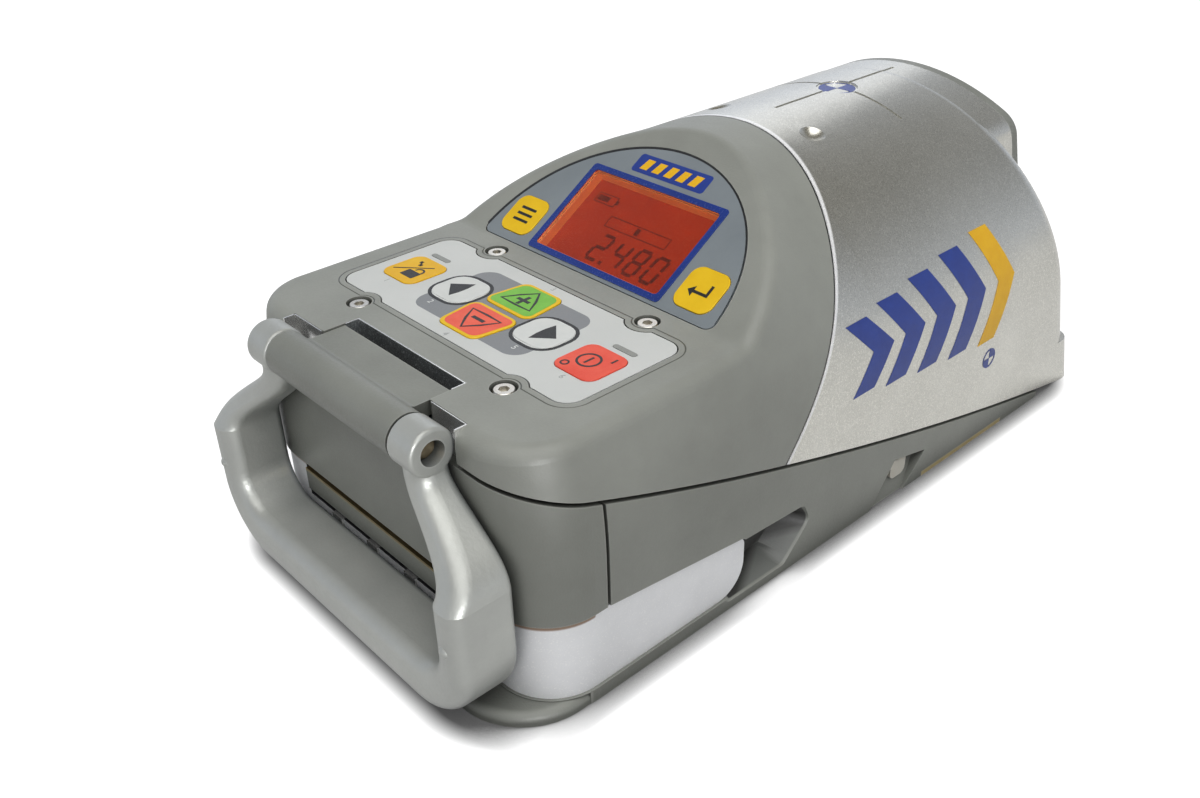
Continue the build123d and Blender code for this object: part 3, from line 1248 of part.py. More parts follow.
def make_battery_cells():
    cells = []
    z = HOLDER_FLOOR + HOLDER_WALL + CELL_R + FIT_GAP
    for y in cell_rows():
        cell = rod(along_x(CELL_GAP / 2, y, z), CELL_R, CELL_LENGTH)
        tip = rod(along_x(CELL_GAP / 2 + CELL_LENGTH, y, z), CELL_TIP_R, CELL_TIP)
        cells += both_sides(fillet(cell.edges(), CELL_EDGE_R) + tip)
    return Compound(cells)


def make_battery_contacts():
    plates = []
    low = HOLDER_FLOOR + HOLDER_WALL
    outer = HOLDER_HALF - HOLDER_WALL
    half = CONTACT_WIDTH / 2
    for y in cell_rows():
        plate = span(outer - CONTACT_THICKNESS, outer, y - half, y + half, low, low + 2 * CELL_R)
        plates += both_sides(plate)
    return Compound(plates)


def build():
    envelope = make_envelope()
    latch, strip = make_latch()
    grade_motor, grade_plunger = make_grade_drive()
    line_motor, line_plunger = make_line_drive()
    parts = {
        "front_housing": make_front_housing(envelope),
        "control_cover": make_control_cover(envelope),
        "base_tray": make_base_tray(envelope),
        "battery_cap": make_battery_cap(envelope),
        "cover_gasket": make_gasket(),
        "battery_cradle": make_battery_cradle(),
        "cap_latch": latch,
        "latch_strip": strip,
        "latch_springs": make_latch_springs(),
        "rear_bumper": make_rear_bumper(),
        "carry_handle": make_handle(),
        "hinge_pin": make_hinge_pin(),
        "keypad_membrane": make_membrane(),
        "status_light_pipes": make_light_pipes(),
        "display_plate": make_display_plate(),
        "display_bezel": make_display_bezel(),
        "display_window": make_display_window(),
        "lcd_module": make_lcd(),
        "cover_screws": make_cover_screws(),
        "panel_bracket": make_panel_bracket(),
        "key_board": make_key_board(),
        "nose_bezel": make_nose_bezel(),
        "front_window": make_front_window(),
        "window_seal": make_window_seal(),
        "window_retainer": make_window_retainer(),
        "leg_stops": make_leg_stops(),
        "skid_strips": Compound(skid_strips()),
        "base_insert": make_base_insert(),
        "leg_inserts": make_leg_inserts(),
        "base_screws": make_base_screws(),
        "chassis": make_chassis(),
        "line_pivot": make_line_pivot(),
        "line_yoke": make_line_yoke(),
        "trunnion_pins": make_trunnions(),
        "laser_barrel": make_barrel(),
        "level_sensor": make_level_sensor(),
        "laser_module": make_laser_module(),
        "collimator_lens": make_lens(),
        "grade_motor": grade_motor,
        "grade_plunger": grade_plunger,
        "line_motor": line_motor,
        "line_plunger": line_plunger,
        "main_board": make_main_board(),
        "battery_holder": make_battery_holder(),
        "battery_cells": make_battery_cells(),
        "battery_contacts": make_battery_contacts(),
    }
    for name in KEYS:
        parts[name] = make_key(name)
    return parts


if __name__ == "__main__":
    os.makedirs("parts", exist_ok=True)
    for node, shape in build().items():
        export_step(shape, f"parts/{node}.step")
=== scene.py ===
# %% [markdown]
# # Dressing a pipe laser
# A pipe laser stands in a drain or a trench and throws its beam along the line of a new pipe.
# The solids of this one come from CAD and load here as a fixed frame that nothing may move.
# Everything below gives that frame its paint, its prints and its light. Lengths are written in
# millimetres, as a maker would measure them, and turned to metres when a piece is finished.

# %% Load the frame
import json
from math import atan2, cos, pi, radians, sin

import bmesh
import bpy
from mathutils import Matrix, Vector
from mathutils.bvhtree import BVHTree


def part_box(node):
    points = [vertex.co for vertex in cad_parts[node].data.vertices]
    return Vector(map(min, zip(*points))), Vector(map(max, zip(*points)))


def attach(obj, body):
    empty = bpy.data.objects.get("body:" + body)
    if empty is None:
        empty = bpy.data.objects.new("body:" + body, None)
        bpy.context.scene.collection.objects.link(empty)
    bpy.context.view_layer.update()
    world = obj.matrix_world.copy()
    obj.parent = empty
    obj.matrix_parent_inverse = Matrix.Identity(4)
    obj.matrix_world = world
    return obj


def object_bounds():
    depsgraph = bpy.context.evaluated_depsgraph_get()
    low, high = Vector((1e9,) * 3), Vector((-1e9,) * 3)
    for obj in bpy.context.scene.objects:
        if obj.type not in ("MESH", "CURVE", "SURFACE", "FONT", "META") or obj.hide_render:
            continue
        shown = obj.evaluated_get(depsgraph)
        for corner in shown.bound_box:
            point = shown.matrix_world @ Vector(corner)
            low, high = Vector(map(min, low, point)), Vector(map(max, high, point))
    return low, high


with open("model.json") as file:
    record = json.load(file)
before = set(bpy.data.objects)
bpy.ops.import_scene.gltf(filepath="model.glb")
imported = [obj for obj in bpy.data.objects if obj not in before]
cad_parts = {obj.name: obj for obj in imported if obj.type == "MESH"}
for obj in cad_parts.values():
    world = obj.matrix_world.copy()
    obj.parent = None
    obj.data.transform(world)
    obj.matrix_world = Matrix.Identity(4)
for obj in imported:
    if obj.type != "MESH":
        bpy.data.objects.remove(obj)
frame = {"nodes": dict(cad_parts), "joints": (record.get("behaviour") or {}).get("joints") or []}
CAD_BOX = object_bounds()
NODES = frame["nodes"]
MM = 0.001

# %% [markdown]
# ## The camera
# The photograph was taken from behind and above, to the right of the instrument, with a moderately
# wide lens fairly close in, so the near corner looks large. A camera could be aimed by hand until
# the outlines agree. Here its place, its three turns and its lens were worked out from corners whose
# real places are known, which is repeatable.

# %% Set up the camera
CAMERA_PLACE = Vector((221.2, -298.9, 213.7)) * MM
CAMERA_HEADING = radians(48.61)
CAMERA_DIP = radians(31.46)
CAMERA_ROLL = radians(-1.73)
SENSOR_WIDTH = 36
LENS_LENGTH = 34.79

camera_data = bpy.data.cameras.new("camera")
camera_data.sensor_width = SENSOR_WIDTH
camera_data.lens = LENS_LENGTH
camera_data.clip_start = 0.01
camera = bpy.data.objects.new("camera", camera_data)
camera.matrix_world = (
    Matrix.Translation(CAMERA_PLACE)
    @ Matrix.Rotation(CAMERA_HEADING, 4, "Z")
    @ Matrix.Rotation(pi / 2 - CAMERA_DIP, 4, "X")
    @ Matrix.Rotation(CAMERA_ROLL, 4, "Z")
)
bpy.context.collection.objects.link(camera)
bpy.context.scene.camera = camera
bpy.context.scene.view_settings.view_transform = "Standard"
print(f"camera {CAMERA_PLACE.length:.3f} m from the origin, {LENS_LENGTH} mm lens")

# %% [markdown]
# ## Small helpers
# Paint makers give colours as sRGB codes, but a shader adds light up in linear values, so every
# code passes through one function. A second function adds a node with its settings and its links
# in one line, which keeps the finishes below short enough to read. A third gives the point being
# shaded, from which every pattern and mask here is worked out.

# %% Colours, nodes and points
def linear(code):
    """The linear RGBA of an sRGB hex colour."""
    steps = [int(code[i:i + 2], 16) / 255 for i in (1, 3, 5)]
    return [s / 12.92 if s <= 0.04045 else ((s + 0.055) / 1.055) ** 2.4 for s in steps] + [1.0]


def add_node(tree, kind, inputs=None, **settings):
    """Adds a shader node. An input gets a value, or a link from a socket or a node's first output."""
    node = tree.nodes.new("ShaderNode" + kind)
    for name, value in settings.items():
        setattr(node, name, value)
    for key, value in (inputs or {}).items():
        if isinstance(value, bpy.types.Node):
            value = value.outputs[0]
        if isinstance(value, bpy.types.NodeSocket):
            tree.links.new(value, node.inputs[key])
        else:
            node.inputs[key].default_value = value
    return node


def shaded_point(tree):
    """The point being shaded, in the coordinates of its object."""
    node = tree.nodes.get("Texture Coordinate") or add_node(tree, "TexCoord")
    return node.outputs["Object"]


print("mid grey is", [round(step, 3) for step in linear("#808080")])

# %% [markdown]
# ## The floor
# The instrument was photographed on a white sweep under soft light, and only a narrow dark shadow
# along its foot shows that it stands on something. Lighting the floor until it burns out would
# bleach the object too. Instead the floor glows for the camera, and less for mirrors and glass,
# while the lamps stay at a level where paint renders as it is written.

# %% Lay the floor
FLOOR_HALF = 4.0

# Matt white paper: no gloss at all, so that only its glow and the shadow show.
paper = bpy.data.materials.new("matt_white_paper")
paper.use_nodes = True
paper_tree = paper.node_tree
paper_shader = paper_tree.nodes["Principled BSDF"]
paper_shader.inputs["Roughness"].default_value = 0.9
paper_shader.inputs["Specular IOR Level"].default_value = 0.0
paper_shader.inputs["Emission Color"].default_value = linear("#FFFFFF")

floor_shape = bmesh.new()
bmesh.ops.create_grid(floor_shape, x_segments=1, y_segments=1, size=FLOOR_HALF)
floor_mesh = bpy.data.meshes.new("floor")
floor_shape.to_mesh(floor_mesh)
floor_shape.free()
floor_mesh.materials.append(paper)
floor = bpy.data.objects.new("floor", floor_mesh)
bpy.context.collection.objects.link(floor)
print(f"floor {2 * FLOOR_HALF:.0f} m wide")

# %% Let it glow
FLOOR_GLOW = 0.9
MIRROR_GLOW = 0.6


def sight_rays(tree):
    """Two masks: rays straight from the camera, and rays seen in a mirror or through a glass."""
    path = add_node(tree, "LightPath").outputs
    mirrored = add_node(tree, "Math", {0: path["Is Glossy Ray"], 1: path["Is Transmission Ray"]},
                        operation="MAXIMUM")
    return path["Is Camera Ray"], mirrored


straight, mirrored = sight_rays(paper_tree)
in_mirrors = add_node(paper_tree, "Math", {0: mirrored, 1: MIRROR_GLOW}, operation="MULTIPLY")
full_glow = add_node(paper_tree, "Math", {0: straight, 1: FLOOR_GLOW, 2: in_mirrors},
                     operation="MULTIPLY_ADD")
print(f"floor glow {FLOOR_GLOW}, and {MIRROR_GLOW} in mirrors")

# %% [markdown]
# ## The shadow on the floor
# A glowing floor would swallow the shadow, so its glow and its paper both fade where the object
# covers the sky, which an ambient occlusion node measures. Under the handle that reaches too far
# out. So past a set distance from the outline of the foot the floor is clear again. The outline is
# a rounded rectangle taken from the CAD box, drawn in a little at the back, where the handle hangs.

# %% Keep the shadow
SHADOW_REACH = 16 * MM
HALF_SKY = 0.5
FULL_SKY = 0.98
LEAST_GLOW = 0.05
FOOT_CORNER = 24 * MM
HANDLE_SHADE = 6 * MM
SHADOW_WIDTH = 6.8 * MM
SHADOW_FALL = 1.5
CLEAR_PAPER = "#A8A8A8"
SHADED_PAPER = "#5A5A5A"


def past_block(tree, middle, half):
    """How far a point lies outside a block."""
    centred = add_node(tree, "VectorMath", {0: shaded_point(tree), 1: middle}, operation="SUBTRACT")
    folded = add_node(tree, "VectorMath", {0: centred}, operation="ABSOLUTE")
    beyond = add_node(tree, "VectorMath", {0: folded, 1: half}, operation="SUBTRACT")
    outside = add_node(tree, "VectorMath", {0: beyond, 1: (0, 0, 0)}, operation="MAXIMUM")
    length = add_node(tree, "VectorMath", {0: outside}, operation="LENGTH")
    return length.outputs["Value"]


open_sky = add_node(paper_tree, "AmbientOcclusion", {"Distance": SHADOW_REACH}, samples=16)
lit = add_node(paper_tree, "MapRange",
               {"Value": open_sky.outputs["AO"], "From Min": HALF_SKY, "From Max": FULL_SKY,
                "To Min": LEAST_GLOW})
low, high = (Vector(corner) for corner in CAD_BOX)
low.y += HANDLE_SHADE
foot_core = (high - low) / 2 - Vector((FOOT_CORNER, FOOT_CORNER, 0))
away = add_node(paper_tree, "MapRange",
                {"Value": past_block(paper_tree, (low + high) / 2, foot_core),
                 "From Min": FOOT_CORNER, "From Max": FOOT_CORNER + SHADOW_WIDTH})
fading = add_node(paper_tree, "Math", {0: away, 1: SHADOW_FALL}, operation="POWER")
clear = add_node(paper_tree, "Math", {0: lit, 1: fading}, operation="MAXIMUM")
tint = add_node(paper_tree, "Mix", {0: clear, 6: linear(SHADED_PAPER), 7: linear(CLEAR_PAPER)},
                data_type="RGBA")
glow = add_node(paper_tree, "Math", {0: full_glow, 1: clear}, operation="MULTIPLY")
paper_tree.links.new(tint.outputs[2], paper_shader.inputs["Base Color"])
paper_tree.links.new(glow.outputs[0], paper_shader.inputs["Emission Strength"])
print(f"shadow {SHADOW_WIDTH / MM:.1f} mm wide")

# %% [markdown]
# ## The studio light
# One large softbox hangs overhead, a weak one fills from the far side, and a low one on the right
# draws the soft highlight on rounded corners. Matt surfaces do not see that one, because a lamp that
# is strong enough to show on grey enamel would bleach the whole side. Shiny paint also mirrors the
# room, so mirrored rays see a pale horizon under a dark, brownish ceiling, and the camera sees plain
# white.

# %% Paint the sky
AMBIENT = 0.18
HORIZON = "#E8F0FF"
CEILING = "#4E441A"
HORIZON_HEIGHT = 0.02
CEILING_HEIGHT = 0.8
SKY_TILT = Vector((0.25, 0, 0.97))

world = bpy.data.worlds.new("studio")
world.use_nodes = True
bpy.context.scene.world = world
sky = world.node_tree
sky.nodes.clear()
direction = add_node(sky, "TexCoord").outputs["Generated"]
height = add_node(sky, "VectorMath", {0: direction, 1: SKY_TILT}, operation="DOT_PRODUCT")
climb = add_node(sky, "MapRange",
                 {"Value": height.outputs["Value"], "From Min": HORIZON_HEIGHT,
                  "From Max": CEILING_HEIGHT})
room = add_node(sky, "Mix", {0: climb, 6: linear(HORIZON), 7: linear(CEILING)},
                data_type="RGBA")
straight, mirrored = sight_rays(sky)
plain = add_node(sky, "Mix", {0: straight, 6: room.outputs[2], 7: linear("#FFFFFF")},
                 data_type="RGBA")
shown = add_node(sky, "Background", {"Color": plain.outputs[2]})
fill = add_node(sky, "Background", {"Color": linear("#FFFFFF"), "Strength": AMBIENT})
seen = add_node(sky, "Math", {0: straight, 1: mirrored}, operation="MAXIMUM")
either = add_node(sky, "MixShader", {0: seen, 1: fill, 2: shown})
add_node(sky, "OutputWorld", {"Surface": either})
print(f"ambient {AMBIENT}")

# %% Hang the lamps
LAMP_AIM = Vector((0, -0.06, 0.05))


def softbox(name, place, width, watts):
    """A square lamp that looks at the middle of the instrument."""
    lamp_data = bpy.data.lights.new(name, "AREA")
    lamp_data.size = width
    lamp_data.energy = watts
    lamp = bpy.data.objects.new(name, lamp_data)
    turn = (LAMP_AIM - Vector(place)).to_track_quat("-Z", "Y")
    lamp.matrix_world = Matrix.Translation(place) @ turn.to_matrix().to_4x4()
    lamp.visible_camera = False
    bpy.context.collection.objects.link(lamp)
    return lamp


softbox("overhead_softbox", (0.6, -0.45, 1.45), width=1.6, watts=22)
highlight_lamp = softbox("highlight_lamp", (1.1, -0.75, 0.22), width=0.4, watts=12)
highlight_lamp.visible_diffuse = False
softbox("front_fill", (-1.0, 1.0, 0.9), width=0.9, watts=2)
print(f"{len(bpy.data.lights)} softboxes")

# %% [markdown]
# ## How a painted or moulded surface is drawn
# Real paint and plastic are never one flat colour. They carry slow patches of tone, a fine grain
# that breaks the highlight up, and edges that handling has rubbed bright. One function lays those
# three over a Principled shader, and each finish below gives it sizes in millimetres. The edge is
# found by comparing the true normal with a rounded one, so it needs no painted mask.

# %% The common surface
NOISE_LOW = 0.3
NOISE_HIGH = 0.7
FLAT_LIKENESS = 0.98
EDGE_LIKENESS = 0.72
EDGE_RUB = 0.7


def surface(name, dark, light, patch_mm, grain_mm, depth_mm, rough, worn=None, worn_mm=0.5,
            metal=0.0, sockets=None):
    """A material with patches between two tones, a fine grain, uneven gloss and rubbed edges."""
    material = bpy.data.materials.new(name)
    material.use_nodes = True
    tree = material.node_tree
    shader = tree.nodes["Principled BSDF"]
    shader.inputs["Metallic"].default_value = metal
    for socket, value in (sockets or {}).items():
        shader.inputs[socket].default_value = value
    point = shaded_point(tree)
    patches = add_node(tree, "TexNoise",
                       {"Vector": point, "Scale": 1 / (patch_mm * MM), "Detail": 6.0, "Roughness": 0.6})
    spread = add_node(tree, "MapRange", {"Value": patches, "From Min": NOISE_LOW, "From Max": NOISE_HIGH})
    tone = add_node(tree, "Mix", {0: spread, 6: linear(dark), 7: linear(light)}, data_type="RGBA")
    colour = tone.outputs[2]
    if worn:
        true_normal = add_node(tree, "NewGeometry").outputs["Normal"]
        rounded = add_node(tree, "Bevel", {"Radius": worn_mm * MM}, samples=4)
        likeness = add_node(tree, "VectorMath", {0: true_normal, 1: rounded}, operation="DOT_PRODUCT")
        rubbed = add_node(tree, "MapRange",
                          {"Value": likeness.outputs["Value"], "From Min": FLAT_LIKENESS,
                           "From Max": EDGE_LIKENESS, "To Max": EDGE_RUB})
        edge = add_node(tree, "Mix", {0: rubbed, 6: colour, 7: linear(worn)}, data_type="RGBA")
        colour = edge.outputs[2]
    grain = add_node(tree, "TexNoise", {"Vector": point, "Scale": 1 / (grain_mm * MM), "Detail": 3.0})
    gloss = add_node(tree, "MapRange",
                     {"Value": grain, "From Min": NOISE_LOW, "From Max": NOISE_HIGH,
                      "To Min": rough[0], "To Max": rough[1]})
    bump = add_node(tree, "Bump", {"Height": grain, "Distance": depth_mm * MM})
    tree.links.new(colour, shader.inputs["Base Color"])
    tree.links.new(gloss.outputs[0], shader.inputs["Roughness"])
    tree.links.new(bump.outputs[0], shader.inputs["Normal"])
    return material


print(f"noise from {NOISE_LOW} to {NOISE_HIGH} sets the tone and the gloss")


# %% Lay colours over it and dress the nodes
def overlay(material, mask, colour):
    """Lays a second colour over a finish where a mask is 1."""
    tree = material.node_tree
    base = tree.nodes["Principled BSDF"].inputs["Base Color"]
    mixed = add_node(tree, "Mix", {0: mask, 6: base.links[0].from_socket, 7: linear(colour)},
                     data_type="RGBA")
    tree.links.new(mixed.outputs[2], base)


def dress(finish, *names):
    """Puts a finish in the material slots of some CAD nodes."""
    for name in names:
        for slot in NODES[name].material_slots:
            slot.material = finish
    print(f"{finish.name}: {', '.join(names)}")


print(f"{len(NODES)} nodes to dress")

# %% [markdown]
# ## Grey enamel
# The covers are die-cast aluminium under a matt grey structured enamel, which is slightly gritty to
# the touch. Shade is painted into its hollows, and into the finger scoops of the base most of all. A
# mask for it could be painted by hand, but the hollows follow from the shape: ambient occlusion finds
# them, and a block and a plane mark the scoops.

# %% Enamel the cap
HOLLOW_SHUT = 0.2
HOLLOW_OPEN = 0.75
HOLLOW_SHADE_SHARE = 0.8


def hollow_shade(material, reach_mm, colour):
    """Paints shade into the hollows of a finish, darker where ambient occlusion finds the sky shut in."""
    tree = material.node_tree
    openness = add_node(tree, "AmbientOcclusion", {"Distance": reach_mm * MM}, samples=8)
    shut = add_node(tree, "MapRange",
                    {"Value": openness.outputs["AO"], "From Min": HOLLOW_SHUT, "From Max": HOLLOW_OPEN,
                     "To Min": HOLLOW_SHADE_SHARE, "To Max": 0.0})
    overlay(material, shut, colour)


def structured_enamel(name, dark, light):
    """Matt structured enamel: no clear highlight, a fine grit, pale rubbed edges, painted shade in
    hollows.
    """
    enamel = surface(name, dark, light, 38, 0.55, 0.05, (0.38, 0.54), worn="#B4B5AE", worn_mm=0.7)
    hollow_shade(enamel, 22, "#3B3C38")
    return enamel


grey_enamel = structured_enamel("matt_grey_structured_enamel", "#80827B", "#90928B")
dress(grey_enamel, "battery_cap", "rear_bumper", "nose_bezel", "cap_latch")

# %% Enamel the base
SCOOP_MIDDLE = Vector((0, -98, 12)) * MM
SCOOP_HALF = Vector((63.7, 18, 10)) * MM
SCOOP_SOFT = 0.3 * MM
SCOOP_SHADE = 0.5
ROOF_NORMAL = Vector((0, -0.305, 0.952))
ROOF_START = 36.65 * MM
ROOF_SOFT = 0.8 * MM
ROOF_SHADE = 0.9


def past_plane(tree, normal, start):
    """How far a point lies past a plane."""
    along = add_node(tree, "VectorMath", {0: shaded_point(tree), 1: normal}, operation="DOT_PRODUCT")
    return add_node(tree, "Math", {0: along.outputs["Value"], 1: start}, operation="SUBTRACT")


# The same enamel, with painted shade in the scoops and a painted shadow, almost black, under their upper
# edge.
base_enamel = structured_enamel("matt_grey_base_enamel", "#84867F", "#94968F")
base_tree = base_enamel.node_tree
in_scoop = add_node(base_tree, "MapRange",
                    {"Value": past_block(base_tree, SCOOP_MIDDLE, SCOOP_HALF), "From Max": SCOOP_SOFT,
                     "To Min": SCOOP_SHADE, "To Max": 0.0})
overlay(base_enamel, in_scoop, "#4C5052")
under_edge = add_node(base_tree, "MapRange",
                      {"Value": past_plane(base_tree, ROOF_NORMAL, ROOF_START),
                       "From Min": -ROOF_SOFT, "From Max": ROOF_SOFT,
                       "To Max": ROOF_SHADE / SCOOP_SHADE})
roof_shadow = add_node(base_tree, "Math", {0: in_scoop, 1: under_edge}, operation="MULTIPLY")
overlay(base_enamel, roof_shadow, "#1C1B19")
dress(base_enamel, "base_tray")

# %% [markdown]
# ## Silver enamel and the bare handle
# The front shell has a silver enamel with metal flake that mirrors the room softly. Along its joint
# with the grey cover a narrow white line is painted on its edge as a highlight. The band under it is
# a paler, frosted silver, and the handle is a bare casting with a satin skin. A car-paint shader of
# several coats would do this too, but at this size one coat with flake is what the eye can tell.

# %% Flake the shell
def sparkle(material, flake_mm, share, colour):
    """Scatters bright flakes over a finish."""
    tree = material.node_tree
    cells = add_node(tree, "TexVoronoi", {"Vector": shaded_point(tree), "Scale": 1 / (flake_mm * MM)})
    chance = add_node(tree, "SeparateColor", {0: cells.outputs["Color"]})
    bright = add_node(tree, "MapRange", {"Value": chance, "From Min": 1 - share})
    overlay(material, bright, colour)


# Flake enamel: soft metallic shine that follows the floor and the ceiling, with a faint sparkle.
silver_flake = surface("silver_flake_enamel", "#BCBBB4", "#CAC9C2", 30, 0.4, 0.02, (0.25, 0.37),
                       worn="#E9E9E6", worn_mm=0.6)
# Real flakes are far finer than this, and would not show at all in a picture of this size.
sparkle(silver_flake, 0.32, 0.4, "#DAD8D0")
dress(silver_flake, "front_housing")

# %% Paint a highlight on the joint
JOINT_LEAN = radians(36.65)
JOINT_FOOT = -123.4 * MM
JOINT_NORMAL = Vector((0, cos(JOINT_LEAN), -sin(JOINT_LEAN)))
JOINT_START = JOINT_FOOT * cos(JOINT_LEAN)
HIGHLIGHT_WIDTH = 1.3 * MM
HIGHLIGHT_SOFT = 0.52 * MM
HIGHLIGHT_METAL = 0.1
SHELL_METAL = 0.88

shell_tree = silver_flake.node_tree
# A painted highlight: a narrow white, hardly metallic line along the shell's edge at the joint.
joint_highlight = add_node(shell_tree, "MapRange",
                {"Value": past_plane(shell_tree, JOINT_NORMAL, JOINT_START),
                 "From Min": HIGHLIGHT_WIDTH - HIGHLIGHT_SOFT, "From Max": HIGHLIGHT_WIDTH,
                 "To Min": 1.0, "To Max": 0.0})
overlay(silver_flake, joint_highlight, "#FFFFFF")
metal = add_node(shell_tree, "MapRange", {"Value": joint_highlight, "To Min": SHELL_METAL, "To Max": HIGHLIGHT_METAL})
shell_tree.links.new(metal.outputs[0], shell_tree.nodes["Principled BSDF"].inputs["Metallic"])
print(f"bright edge {HIGHLIGHT_WIDTH / MM:.1f} mm wide")

# %% Frost the band
RECESS_MIDDLE = Vector((0, -179.5, 21.9)) * MM
RECESS_HALF = Vector((41.9, 1.45, 6.1)) * MM
RECESS_EDGE = 0.01 * MM
RUB_MIDDLE = Vector((0, -190, 28)) * MM
RUB_HALF = Vector((200, 26, 1.5)) * MM
RUB_START = 0.2 * MM
RUB_END = 0.7 * MM
RUB_SHARE = 0.9

# Frosted silver: bead-blasted before painting, so it scatters more and looks almost white.
frosted_silver = surface("frosted_silver_enamel", "#E4E5E7", "#EFF0F2", 22, 0.5, 0.03, (0.38, 0.55),
                         worn="#F4F4F4", metal=0.3)
sparkle(frosted_silver, 0.3, 0.1, "#F6F6F6")

# Behind the latch the band is painted dark, as the shade in that recess, and its upper edge at the rear
# corners is rubbed brown.
band_tree = frosted_silver.node_tree
recess = past_block(band_tree, RECESS_MIDDLE, RECESS_HALF)
recess_shade = add_node(band_tree, "Math", {0: recess, 1: RECESS_EDGE}, operation="LESS_THAN")
overlay(frosted_silver, recess_shade, "#2A2B2B")
rub = add_node(band_tree, "MapRange",
               {"Value": past_block(band_tree, RUB_MIDDLE, RUB_HALF), "From Min": RUB_START,
                "From Max": RUB_END, "To Min": RUB_SHARE, "To Max": 0.0})
overlay(frosted_silver, rub, "#8C6B50")
dress(frosted_silver, "battery_cradle")

# %% Tumble the handle
# Satin casting: aluminium straight from the die, tumbled smooth, with a broad dull highlight.
satin_casting = surface("tumbled_cast_aluminium", "#B0B2AE", "#BFC1BC", 26, 0.8, 0.05, (0.36, 0.5),
                        worn="#DADBD7", worn_mm=0.9, metal=0.35)
# Painted shade in the handle's hollows, darker where ambient occlusion finds the sky shut in.
hollow_shade(satin_casting, 20, "#565C60")
dress(satin_casting, "carry_handle")

# %% [markdown]
# ## The control panel
# The level panel carries a printed polyester overlay with a darker zone round the middle keys, and
# the leaning half-round carries a blue-grey one. Both are screen prints on the back of a textured
# film, so they are matt and very even. The zone could be a separate sheet, but a printed film has
# no edge to feel, so it is drawn in the material as a rounded rectangle.

# %% Print the overlays
ZONE_HALF = Vector((22.6, 13.9)) * MM
ZONE_CORNER = 5 * MM
ZONE_COLOUR = "#8A8D90"

# Textured polyester film: pale and matt, with a very fine pebble.
pale_film = surface("printed_polyester_film", "#D2D5D2", "#DADCD9", 24, 0.45, 0.02, (0.42, 0.55))
low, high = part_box("keypad_membrane")
film_tree = pale_film.node_tree
film_middle = (low + high) / 2
film_half = (high - low) / 2
zone_core = Vector((ZONE_HALF.x - ZONE_CORNER, ZONE_HALF.y - ZONE_CORNER, 1.0))
reach = past_block(film_tree, film_middle, zone_core)
within = add_node(film_tree, "Math", {0: reach, 1: ZONE_CORNER}, operation="LESS_THAN")
overlay(pale_film, within, ZONE_COLOUR)
dress(pale_film, "keypad_membrane")

# The same film printed blue-grey, and a little smoother.
dress(surface("printed_blue_grey_film", "#7F878C", "#8A9297", 24, 0.45, 0.015, (0.36, 0.5)),
      "display_plate")

# %% [markdown]
# ## The lip round the key panel
# The cover carries a low cast lip round the overlay that also steps round each screw, so a tool that
# slips off a screw does not reach the film. It is a third of a millimetre high and could be a solid,
# but a bump shows the same. Its height falls at a set distance from the outline of the film, which is
# a rounded rectangle with a circle taken out at each screw.

# %% Cast the lip
LIP_WIDTH = 2.1 * MM
LIP_SLOPE = 0.25 * MM
LIP_HEIGHT = 0.35 * MM
LIP_CREASE = 0.16 * MM
FILM_CORNER = 5.0 * MM
NOTCH = 6.2 * MM
SCREW_SIDE = 31.4 * MM
SCREW_ROWS = (-23.9 * MM, 23.0 * MM)
SEAM_SHADE_WIDTH = 0.6 * MM

# The same enamel in a copy painted a little lighter than the cap's, for the stronger light on the cover,
# with the lip in it and painted shade along its edge at the seam with the shell.
cover_enamel = structured_enamel("grey_enamel_with_cast_lip", "#8E9089", "#9EA099")
cover_tree = cover_enamel.node_tree
cover_normal = cover_tree.nodes["Principled BSDF"].inputs["Normal"]
film_core = Vector((film_half.x - FILM_CORNER, film_half.y - FILM_CORNER, 1.0))
reach = past_block(cover_tree, film_middle, film_core)
distance = add_node(cover_tree, "Math", {0: reach, 1: FILM_CORNER}, operation="SUBTRACT")
for row in SCREW_ROWS:
    for side in (-1, 1):
        screw = Vector((side * SCREW_SIDE, film_middle.y + row, 0))
        from_screw = past_block(cover_tree, screw, Vector((0, 0, 1.0)))
        in_notch = add_node(cover_tree, "Math", {0: NOTCH, 1: from_screw}, operation="SUBTRACT")
        distance = add_node(cover_tree, "Math", {0: distance, 1: in_notch}, operation="MAXIMUM")
fall = add_node(cover_tree, "MapRange",
                {"Value": distance, "From Min": LIP_WIDTH - LIP_SLOPE, "From Max": LIP_WIDTH + LIP_SLOPE,
                 "To Min": 1.0, "To Max": 0.0})
lip = add_node(cover_tree, "Bump", {"Height": fall, "Distance": LIP_HEIGHT,
                                    "Normal": cover_normal.links[0].from_socket})
cover_tree.links.new(lip.outputs[0], cover_normal)
# A thin dark line painted along the foot of the lip, as the shade in its crease.
crease_shade = add_node(cover_tree, "Math", {0: distance, 1: LIP_WIDTH, 2: LIP_CREASE}, operation="COMPARE")
overlay(cover_enamel, crease_shade, "#61635D")
# A thin line of painted shade on the cover's edge along the seam with the shell.
past_joint = past_plane(cover_tree, JOINT_NORMAL, JOINT_START)
seam_shade = add_node(cover_tree, "Math", {0: past_joint, 1: -SEAM_SHADE_WIDTH}, operation="GREATER_THAN")
overlay(cover_enamel, seam_shade, "#1B1C1B")
dress(cover_enamel, "control_cover")

# %% [markdown]
# ## Keys
# The keys are silicone rubber caps, coloured right through: amber, red, yellow and white. Rubber has
# a soft broad highlight and a skin like fine leather from the mould. A plain colour would look like
# hard plastic, so each cap gets an uneven gloss and slow patches where fingers have polished it.

